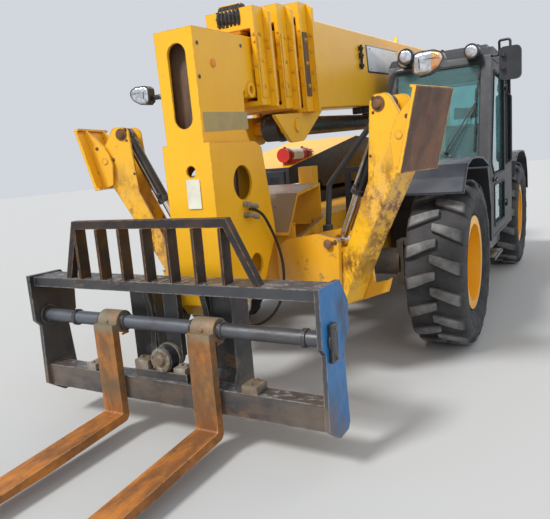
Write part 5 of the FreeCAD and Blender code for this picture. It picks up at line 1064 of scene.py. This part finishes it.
def cab_seals():
    """Rubber round the windscreen, the side panes and the rear pane."""
    fixed = bmesh.new()
    long = (SCREEN_HIGH - SCREEN_LOW).length
    screen = screen_matrix()
    window_frame(fixed, [(CAB_IN + 0.055, -0.012), (CAB_OUT - 0.055, -0.012), (CAB_OUT - 0.055, long + 0.012),
                         (CAB_IN + 0.055, long + 0.012)], 0.028, 0.012, screen @ Matrix.Translation((0, 0, 0.001)))
    roof = CAB_ROOF - 0.14
    back = FRONT_AXLE + 2.26
    right = [(FRONT_AXLE + 0.8, 1.25), (back - 0.13, 1.25), (back - 0.15, roof), (FRONT_AXLE + 0.97, roof)]
    window_frame(fixed, side_outline(right, -1), 0.02, 0.01, side_matrix(CAB_IN, -1))
    quarter = [(DOOR_HINGE + 0.09, 1.25), (back - 0.13, 1.25), (back - 0.15, roof), (DOOR_HINGE + 0.09, roof)]
    window_frame(fixed, side_outline(quarter, 1), 0.02, 0.01, side_matrix(CAB_OUT, 1))
    rear = Matrix(((-1, 0, 0, 0), (0, 0, 1, back), (0, 1, 0, 0), (0, 0, 0, 1)))
    window_frame(fixed, [(-CAB_OUT + 0.1, 1.32), (-CAB_IN - 0.1, 1.32), (-CAB_IN - 0.1, CAB_ROOF - 0.15),
                         (-CAB_OUT + 0.1, CAB_ROOF - 0.15)], 0.02, 0.01, rear)
    piece("cab_seals", fixed, "black_rubber", "chassis")
    door = bmesh.new()
    high_pane = [(FRONT_AXLE + 1.63, 1.19), (FRONT_AXLE + 1.63, 2.082), (FRONT_AXLE + 1.01, 2.082),
                 (FRONT_AXLE + 0.815, 1.3), (FRONT_AXLE + 0.97, 1.19)]
    window_frame(door, side_outline(high_pane, 1), 0.018, 0.008, side_matrix(CAB_OUT, 1))
    low_pane = [(FRONT_AXLE + 0.97, 0.74), (FRONT_AXLE + 1.63, 0.74), (FRONT_AXLE + 1.63, 1.12),
                (FRONT_AXLE + 0.97, 1.12)]
    window_frame(door, side_outline(low_pane, 1), 0.018, 0.008, side_matrix(CAB_OUT, 1))
    piece("door_seals", door, "black_rubber", "cab_door")


def wiper():
    """Two parallel arms and a jointed blade on the windscreen, with their pivot box."""
    ahead = screen_matrix().to_3x3() @ Z
    base, second = Vector((0.858, 0.3, 1.415)), Vector((0.9, 0.29, 1.372))
    joint, top, low = Vector((1.092, 0.391, 1.796)), Vector((1.112, 0.452, 2.053)), Vector((1.088, 0.299, 1.41))
    lift = ahead * 0.034
    pipe("wiper_arm_main", [base + lift, base.lerp(joint, 0.5) + lift * 1.15, joint + lift], 0.0065, "black_paint",
         "chassis")
    pipe("wiper_arm_side", [second + lift, second.lerp(joint, 0.5) + lift * 1.15,
                            joint + Vector((-0.005, 0, -0.03)) + lift], 0.0045, "black_paint", "chassis")
    blade = bmesh.new()
    along = (top - low).normalized()
    turn = Matrix((X, ahead, along)).transposed().to_4x4()
    for count in range(9):
        start = low.lerp(top, count / 9) + ahead * 0.022
        block(blade, (-0.008, -0.004, 0.004), (0.008, 0.006, 0.066), 0.002, Matrix.Translation(start) @ turn)
    block(blade, (-0.003, -0.0145, 0), (0.003, 0.0, (top - low).length), 0.001,
          Matrix.Translation(low + ahead * 0.0225) @ turn)
    block(blade, (-0.007, 0, -0.12), (0.007, 0.01, 0.12), 0.003, Matrix.Translation(joint + ahead * 0.029) @ turn)
    piece("wiper_blade", blade, "black_rubber", "chassis")
    pivots = bmesh.new()
    for spot in (base, second):
        drum(pivots, spot - ahead * 0.002, ahead, 0.016, 0.042, 20, 0.004)
    drum(pivots, joint + ahead * 0.024, ahead, 0.01, 0.018, 16, 0.003)
    block(pivots, (0.83, 0.262, 1.285), (0.95, 0.3, 1.335), 0.008)
    piece("wiper_pivots", pivots, "black_plastic", "chassis")


def door_fittings():
    """The door's handle, bolts on its hinges and on the frame's, and the grab rail beside it with its feet."""
    shape = bmesh.new()
    block(shape, (CAB_OUT + 0.0005, FRONT_AXLE + 0.9, 1.135), (CAB_OUT + 0.014, FRONT_AXLE + 1.03, 1.178), 0.006)
    block(shape, (CAB_OUT + 0.0145, FRONT_AXLE + 0.91, 1.142), (CAB_OUT + 0.03, FRONT_AXLE + 1.015, 1.16), 0.005)
    drum(shape, (CAB_OUT + 0.014, FRONT_AXLE + 1.012, 1.165), X, 0.009, 0.012, 20)
    piece("door_handle", shape, "black_plastic", "cab_door")
    covers = bmesh.new()
    for low in (0.85, 1.95):
        for y in (-0.045, -0.02):
            bolt(covers, (CAB_OUT + 0.0102, DOOR_HINGE + y, low + 0.047), X, 0.006, 0.005)
    piece("door_hinge_bolts", covers, "zinc_bolt", "cab_door")
    fixed = bmesh.new()
    for low in (0.85, 1.95):
        for y in (0.025, 0.055):
            bolt(fixed, (CAB_OUT + 0.0102, DOOR_HINGE + y, low + 0.015), X, 0.006, 0.005)
    piece("frame_hinge_bolts", fixed, "zinc_bolt", "chassis")
    rear = CAB_OUT + 0.045
    post = DOOR_HINGE + 0.105
    pipe("grab_rail", [(CAB_OUT - 0.002, post, 1.28), (rear, post, 1.28), (rear, post, 1.34), (rear, post, 1.6),
                       (rear, post, 1.86), (rear, post, 1.92), (CAB_OUT - 0.002, post, 1.92)], 0.012,
         "black_plastic", "chassis")
    feet = bmesh.new()
    for high in (1.28, 1.92):
        drum(feet, (CAB_OUT, post, high), X, 0.022, 0.006, 24)
    piece("grab_rail_feet", feet, "black_plastic", "chassis")


def swollen(name, low, high, matrix, finish, cap=0.024, voxel=0.006):
    """A stuffed pad: a block grown by a short cloth simulation, its movement capped, and subdivided once."""
    shape = bmesh.new()
    block(shape, low, high, 0.02, matrix)
    made = piece(name, shape, finish, "chassis", 80)
    for face in made.data.polygons:
        face.use_smooth = True
    bpy.context.view_layer.objects.active = made
    grid = made.modifiers.new("grid", "REMESH")
    grid.mode = "VOXEL"
    grid.voxel_size = voxel
    bpy.ops.object.modifier_apply(modifier="grid")
    start = [v.co.copy() for v in made.data.vertices]
    cloth = made.modifiers.new("cloth", "CLOTH")
    cloth.settings.use_pressure = True
    cloth.settings.uniform_pressure_force = 4
    cloth.settings.effector_weights.gravity = 0
    cloth.point_cache.frame_start = 1
    cloth.point_cache.frame_end = 20
    for count in range(1, 21):
        bpy.context.scene.frame_set(count)
    bpy.ops.object.modifier_apply(modifier="cloth")
    bpy.context.scene.frame_set(1)
    for vertex, was in zip(made.data.vertices, start):
        moved = vertex.co - was
        if moved.length > cap:
            vertex.co = was + moved.normalized() * cap
    round_off = made.modifiers.new("round", "SUBSURF")
    round_off.levels = 1
    round_off.render_levels = 1
    for face in made.data.polygons:
        face.use_smooth = True
    return made


def seat():
    """The seat on its ribbed suspension: a base, two padded cushions and a head rest on two bars."""
    tilt = math.atan2(0.11, 0.57)
    base = bmesh.new()
    block(base, (CAB_MIDDLE - 0.19, 1.1785, 0.69), (CAB_MIDDLE + 0.19, 1.6185, 0.78), 0.012)
    block(base, (CAB_MIDDLE - 0.235, 1.125, 1.0), (CAB_MIDDLE + 0.235, 1.625, 1.035), 0.014)
    for side in (-1, 1):
        block(base, (CAB_MIDDLE + side * 0.232 - 0.006, 1.52, 1.03), (CAB_MIDDLE + side * 0.232 + 0.006, 1.6, 1.16),
              0.005)
    shell = piece("seat_base", base, "black_plastic", "chassis")
    bellows = bmesh.new()
    for count in range(7):
        low = 0.78 + count * 0.0314
        wide = 0.18 if count % 2 else 0.165
        block(bellows, (CAB_MIDDLE - wide, 1.19, low), (CAB_MIDDLE + wide, 1.61, low + 0.032), 0.012)
    piece("seat_bellows", bellows, "black_rubber", "chassis")
    cushion = swollen("seat_cushion", (CAB_MIDDLE - 0.22, 1.14, 1.048), (CAB_MIDDLE + 0.22, 1.6, 1.12), Matrix(),
                      "seat_cover")
    lean = Matrix.Translation((CAB_MIDDLE, 1.583, 1.14)) @ Matrix.Rotation(-tilt, 4, "X")
    back = swollen("seat_back", (-0.215, -0.03, 0.02), (0.215, 0.032, 0.56), lean, "seat_cover")
    head = swollen("seat_head", (-0.125, -0.02, 0.605), (0.125, 0.02, 0.74), lean, "pale_vinyl", 0.014)
    pan = bmesh.new()
    block(pan, (-0.21, 0.035, 0.0), (0.21, 0.047, 0.56), 0.006, lean)
    piece("seat_back_pan", pan, "black_plastic", "chassis")
    bars = bmesh.new()
    for side in (-0.06, 0.06):
        drum(bars, lean @ Vector((side, 0.005, 0.54)), lean.to_3x3() @ Z, 0.006, 0.09, 16)
    piece("seat_head_bars", bars, "chrome_rod", "chassis")
    for made in (shell, cushion, back, head):
        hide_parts("cab_seat")


def cab_fittings():
    """The steering wheel's hub and knob, levers and roof bolts."""
    hub = bmesh.new()
    centre = Vector((0.77, 0.8185, 1.3))
    axis = Matrix.Rotation(math.radians(30), 3, "X") @ Z
    turned(hub, [(0, 0), (0, 0.05), (0.012, 0.052), (0.022, 0.045), (0.026, 0)], centre - axis * 0.004, axis, 32)
    knob = centre + Matrix.Rotation(math.radians(30), 3, "X") @ Vector((0.12, -0.12, 0.012))
    turned(hub, [(0, 0), (0, 0.014), (0.01, 0.016), (0.03, 0.021), (0.046, 0.018), (0.052, 0)], knob, axis, 20)
    piece("steering_hub", hub, "black_plastic", "steering_wheel")
    levers = bmesh.new()
    for side, reach in ((1, 0.11), (-1, 0.12)):
        foot = centre - axis * 0.07 + X * side * 0.03
        tip = foot + X * side * reach + axis * 0.03
        drum(levers, foot, tip - foot, 0.006, (tip - foot).length, 12)
        drum(levers, tip, tip - foot, 0.011, 0.03, 16, 0.004)
    for across in (0.56, 0.59):
        turned(levers, [(0, 0), (0, 0.007), (0.08, 0.006), (0.085, 0.014), (0.12, 0.017), (0.135, 0.01),
                        (0.138, 0)], (across, 0.68, 1.0), Vector((0, 0.15, 1)), 16)
    piece("cab_levers", levers, "black_plastic", "chassis")
    top = bmesh.new()
    for across in (0.47, 0.77, 1.07):
        for depth in (0.66, 1.66):
            bolt(top, (across, depth, 2.2995), Z, 0.01, 0.007)
    piece("roof_bolts", top, "black_plastic", "chassis")


# Lamps and mirrors.
LAMP_OUTLINE = ((-0.092, -0.048), (-0.092, 0.048), (-0.062, 0.068), (0.034, 0.070), (0.080, 0.050), (0.092, 0.016),
                (0.066, -0.028), (0, -0.064), (-0.060, -0.070))


def lamp_lenses():
    """Crowned lenses in bezels on the driving lamps and the work lamps, and flat lenses on the tail lamps."""
    for hand, side, across, high in (("left", 1, 1.1, 1.95), ("right", -1, -1.07, 2.022)):
        upright = Matrix(((side, 0, 0, across), (0, 0, -1, FRONT_AXLE - 0.868), (0, 1, 0, high), (0, 0, 0, 1)))
        lens = bmesh.new()
        flat_face(lens, [(a * 0.93, b * 0.93) for a, b in LAMP_OUTLINE], 0.011)
        raise_faces(lens, 0.009)
        bmesh.ops.translate(lens, vec=(0, 0, -0.006), verts=lens.verts)
        crown = max(lens.faces, key=lambda face: face.calc_center_median().z)
        for inwards, up in ((0.004, 0.005), (0.014, 0.004), (0.02, 0.0025)):
            bmesh.ops.inset_region(lens, faces=[crown], thickness=inwards, depth=up, use_even_offset=True)
        shape = bmesh.new()
        laid(shape, lens, upright)
        piece("driving_lens_%s" % hand, shape, "%s_lens" % hand, "chassis", 60)
        rim = bmesh.new()
        window_frame(rim, [(side * a, b) for a, b in LAMP_OUTLINE][::side], 0.006, 0.006,
                     Matrix(((1, 0, 0, across), (0, 0, -1, FRONT_AXLE - 0.868), (0, 1, 0, high), (0, 0, 0, 1))), 0.012)
        piece("driving_bezel_%s" % hand, rim, "lamp_body", "chassis")
        screws = bmesh.new()
        for a, b in ((-0.05, -0.03), (0.05, 0.04)):
            bolt(screws, (across + side * a, FRONT_AXLE - 0.79, high + b), Y, 0.007, 0.006)
        piece("driving_screws_%s" % hand, screws, "zinc_bolt", "chassis")
    dome = [(0, 0), (0, 0.92), (0.05, 0.94), (0.16, 0.86), (0.24, 0.6), (0.28, 0.3), (0.29, 0)]
    work = bmesh.new()
    hoods = bmesh.new()
    for spot, radius in (((0.974, -1.2633, 2.0), 0.041), ((0.51, 0.3607, 2.215), 0.054),
                         ((1.065, 0.3607, 2.215), 0.054)):
        turned(work, [(along * radius, out * radius) for along, out in dome], spot, -Y, 32)
        ring(hoods, spot, -Y, radius * 0.95, radius * 1.1, 0.008, 40)
    piece("work_lenses", work, "work_lens", "chassis", 60)
    piece("work_bezels", hoods, "lamp_body", "chassis")
    for name, finish, places in (("tail_lenses", "red_lens", (0.512, 0.578)), ("turn_lenses", "amber_lens", (0.545,))):
        tail = bmesh.new()
        for side in (1, -1):
            for order, across in enumerate(places):
                low, high = ((1.03, 1.066) if finish == "amber_lens" else (1.072, 1.132))
                wide = 0.058 if finish == "amber_lens" else 0.029
                block(tail, (side * across - wide, 3.748, low), (side * across + wide, 3.7555, high), 0.004)
        piece(name, tail, finish, "chassis")


def mirror_fittings():
    """A glass in each mirror's rim, and its clamp and arm joint."""
    for hand, side, across, face, high in (("left", 1, 1.357, 0.4205, 2.088), ("right", -1, -1.357, -0.2395, 1.99)):
        back = Matrix(((-1, 0, 0, across), (0, 0, 1, face), (0, 1, 0, high), (0, 0, 0, 1)))
        outline = [(-0.0825, -0.128), (0.0825, -0.128), (0.0825, 0.128), (-0.0825, 0.128)]
        rim = bmesh.new()
        window_frame(rim, outline, 0.01, 0.006, back, 0.04)
        for step in (-0.05, 0.05):
            ring(rim, (across - side * 0.05, face - 0.062, high + step), Z, 0.009, 0.017, 0.022, 20)
        piece("mirror_rim_%s" % hand, rim, "mirror_black", "chassis")
        glass = bmesh.new()
        slab(glass, [(a * 0.87, b * 0.91) for a, b in outline], 0.0025, back, 0.034, 0.001)
        piece("mirror_glass_%s" % hand, glass, "mirror_face", "chassis")


# Bonnet, bottle and the rest of the chassis.
def bonnet_fittings():
    """Louvres, latches and a grille on the bonnet; the bottle's label, band, straps and valve."""
    louvres = bmesh.new()
    for count in range(9):
        depth = FRONT_AXLE + 0.62 + count * 0.05
        block(louvres, (-0.004, -0.015, -0.07), (0.004, 0.015, 0.07), 0.003,
              Matrix.Translation((-1.151, depth, 1.36)) @ Matrix.Rotation(0.35, 4, "Z"))
    piece("bonnet_louvres", louvres, "black_paint", "bonnet")
    latches = bmesh.new()
    for depth in (FRONT_AXLE + 0.4, FRONT_AXLE + 1.9):
        block(latches, (-1.156, depth - 0.035, 1.21), (-1.148, depth + 0.035, 1.27), 0.004)
        drum(latches, (-1.156, depth, 1.24), -X, 0.013, 0.006, 20)
    piece("bonnet_latches", latches, "black_plastic", "bonnet")
    front = bmesh.new()
    block(front, (-1.12, -0.2905, 1.205), (-0.52, -0.2845, 1.375), 0.003)
    for count in range(5):
        block(front, (-1.08, -0.2955, 1.228 + count * 0.028), (-0.56, -0.2885, 1.238 + count * 0.028), 0.003)
    piece("bonnet_grille", front, "black_plastic", "bonnet")
    centre = Vector((-0.43, 0, 1.5))
    label = bmesh.new()
    ring(label, centre + Y * (FRONT_AXLE + 0.27), Y, 0.0615, 0.0632, 0.2, 48, 0.0005)
    piece("bottle_label", label, "cream_label", "bonnet")
    straps = bmesh.new()
    for depth in (0.2, 0.55):
        ring(straps, centre + Y * (FRONT_AXLE + depth), Y, 0.0615, 0.0655, 0.022, 48, 0.001)
        block(straps, (-0.438, FRONT_AXLE + depth, 1.56), (-0.422, FRONT_AXLE + depth + 0.022, 1.575), 0.003)
    drum(straps, centre + Y * (FRONT_AXLE + 0.728), Y, 0.018, 0.02, 20)
    block(straps, (-0.438, FRONT_AXLE + 0.71, 1.515), (-0.422, FRONT_AXLE + 0.80, 1.527), 0.004)
    block(straps, (-0.438, FRONT_AXLE + 0.71, 1.535), (-0.422, FRONT_AXLE + 0.78, 1.545), 0.004)
    piece("bottle_straps", straps, "black_plastic", "bonnet")


def chassis_fittings():
    """Bolts, covers, step tread, fender beads and fixed pipes."""
    plates = bmesh.new()
    for side in (1, -1):
        for depth in (-0.9, 0.3, 1.3, 2.4):
            for high in (0.56, 0.72):
                bolt(plates, (side * 0.2772, depth, high), X * side, 0.012, 0.01)
        drum(plates, Vector((side * 0.2772, PIVOT.y, PIVOT.z)), X * side, 0.05, 0.012, 32, 0.004)
        bolt(plates, (side * 0.2772, PIVOT.y - 0.075, PIVOT.z), X * side, 0.011, 0.01)
    piece("frame_bolts", plates, "rusty_bolt", "chassis")
    tread = bmesh.new()
    for count in range(9):
        depth = FRONT_AXLE + 1.03 + count * 0.055
        block(tread, (1.09, depth - 0.012, 0.4545), (1.19, depth + 0.012, 0.4605), 0.003)
    for high in (0.5, 0.56):
        block(tread, (1.0795, FRONT_AXLE + 0.98, high), (1.0855, FRONT_AXLE + 1.52, high + 0.012), 0.003)
    piece("step_tread", tread, "zinc_bolt", "chassis")
    tank = bmesh.new()
    drum(tank, (0.95, FRONT_AXLE + 1.85, 0.6195), Z, 0.05, 0.022, 32, 0.005)
    for count in range(8):
        away = Matrix.Rotation(count * math.pi / 4, 3, "Z") @ X
        block(tank, (-0.005, -0.004, 0), (0.005, 0.004, 0.018), 0.002,
              Matrix.Translation(Vector((0.95, FRONT_AXLE + 1.85, 0.622)) + away * 0.05))
    for depth in (1.0, 2.1):
        block(tank, (0.4, FRONT_AXLE + depth - 0.02, 0.6195), (1.083, FRONT_AXLE + depth + 0.02, 0.6235), 0.002)
        block(tank, (1.0795, FRONT_AXLE + depth - 0.02, 0.44), (1.0835, FRONT_AXLE + depth + 0.02, 0.622), 0.002)
    piece("tank_fittings", tank, "black_plastic", "chassis")
    front = ((-0.468, 1.18), (-0.4, 1.263), (-0.32, 1.348), (-0.15, 1.384), (0.06, 1.384))
    longer = front + ((0.3, 1.371), (0.54, 1.319), (0.598, 1.3))
    rear = ((-0.7, 1.1), (-0.56, 1.255), (-0.35, 1.345), (0, 1.36), (0.35, 1.345), (0.64, 1.24), (0.8, 1.05),
            (0.85, 0.865))
    for name, side, axle, line in (("front_left", 1, FRONT_AXLE, longer), ("front_right", -1, FRONT_AXLE, front),
                                   ("rear_left", 1, REAR_AXLE, rear), ("rear_right", -1, REAR_AXLE, rear)):
        points = [(side * 1.207, axle + depth, high - 0.005) for depth, high in line]
        pipe("fender_bead_%s" % name, points, 0.0075, "black_rubber", "chassis")
    fender_bolts = bmesh.new()
    for side in (1, -1):
        for across in (0.72, 0.95):
            bolt(fender_bolts, (side * across, FRONT_AXLE - 0.05, 1.3848), Z, 0.01, 0.006)
            for depth in (-0.12, 0.12):
                bolt(fender_bolts, (side * across, REAR_AXLE + depth, 1.356), Z, 0.01, 0.006)
    piece("fender_bolts", fender_bolts, "zinc_bolt", "chassis")
    frame_hoses = ((0.035, 0.0), (0.07, 0.02), (-0.06, 0.01))
    for order, (across, drop) in enumerate(frame_hoses):
        pipe("frame_pipe_%d" % order, [(across, -1.36, 0.86 - drop), (across, -1.37, 0.95 - drop),
                                       (across * 1.2, -1.385, 1.05), (across * 1.3, -1.37, 1.16)], 0.008,
             "black_rubber", "chassis")


def head_hose():
    """A free hydraulic hose: out of the boom head's side, down, and in a loop up to its underside."""
    route = [(0.187, -1.85, 1.2), (0.2, -1.75, 1.185), (0.203, -1.64, 1.05), (0.212, -1.56, 0.9), (0.24, -1.58, 0.75),
             (0.27, -1.7, 0.6), (0.19, -1.75, 0.49), (0.056, -1.76, 0.44), (-0.076, -1.77, 0.49),
             (-0.13, -1.78, 0.6), (-0.135, -1.78, 0.68)]
    hose = smooth_line("head_hose", route, 0.009, 12)
    bpy.context.scene.collection.objects.link(hose)
    finished(hose, "black_rubber", "boom_inner")


# Light.
def set_up_studio():
    """A pale floor, a broad key light from the right of the nose, two fills and an even sky."""
    shape = bmesh.new()
    bmesh.ops.create_grid(shape, x_segments=1, y_segments=1, size=40)
    mesh = bpy.data.meshes.new("studio_floor")
    shape.to_mesh(mesh)
    shape.free()
    floor = bpy.data.objects.new("studio_floor", mesh)
    bpy.context.scene.collection.objects.link(floor)
    start_finish("studio_floor", (0.45, 0.45, 0.44), 0.9)
    mesh.materials.append(FINISHES["studio_floor"])
    world = bpy.data.worlds.new("studio_sky")
    world.use_nodes = True
    sky = world.node_tree.nodes["Background"]
    sky.inputs["Color"].default_value = (0.9, 0.94, 1.0, 1)
    sky.inputs["Strength"].default_value = 0.72
    bpy.context.scene.world = world
    bpy.context.scene.view_settings.view_transform = "Standard"
    for name, place, spread_angle, power in (("key_light", (-2.6, -6.4, 7.6), 12, 3.0),
                                             ("fill_light", (6.0, -5.0, 4.5), 50, 0.45),
                                             ("rim_light", (2.0, 8.0, 6.0), 50, 0.5)):
        data = bpy.data.lights.new(name, "SUN")
        data.energy = power
        data.angle = math.radians(spread_angle)
        lamp = bpy.data.objects.new(name, data)
        bpy.context.scene.collection.objects.link(lamp)
        lamp.location = place
        lamp.rotation_euler = (-Vector(place)).to_track_quat("-Z", "Y").to_euler()


random.seed(7)
set_up_camera()
make_finishes()
dress_nodes()
running_gear()
boom_fittings()
nose_fittings()
lift_fittings()
stabiliser_fittings()
carriage_fittings()
cab_seals()
wiper()
door_fittings()
seat()
cab_fittings()
lamp_lenses()
mirror_fittings()
bonnet_fittings()
chassis_fittings()
head_hose()
set_up_studio()
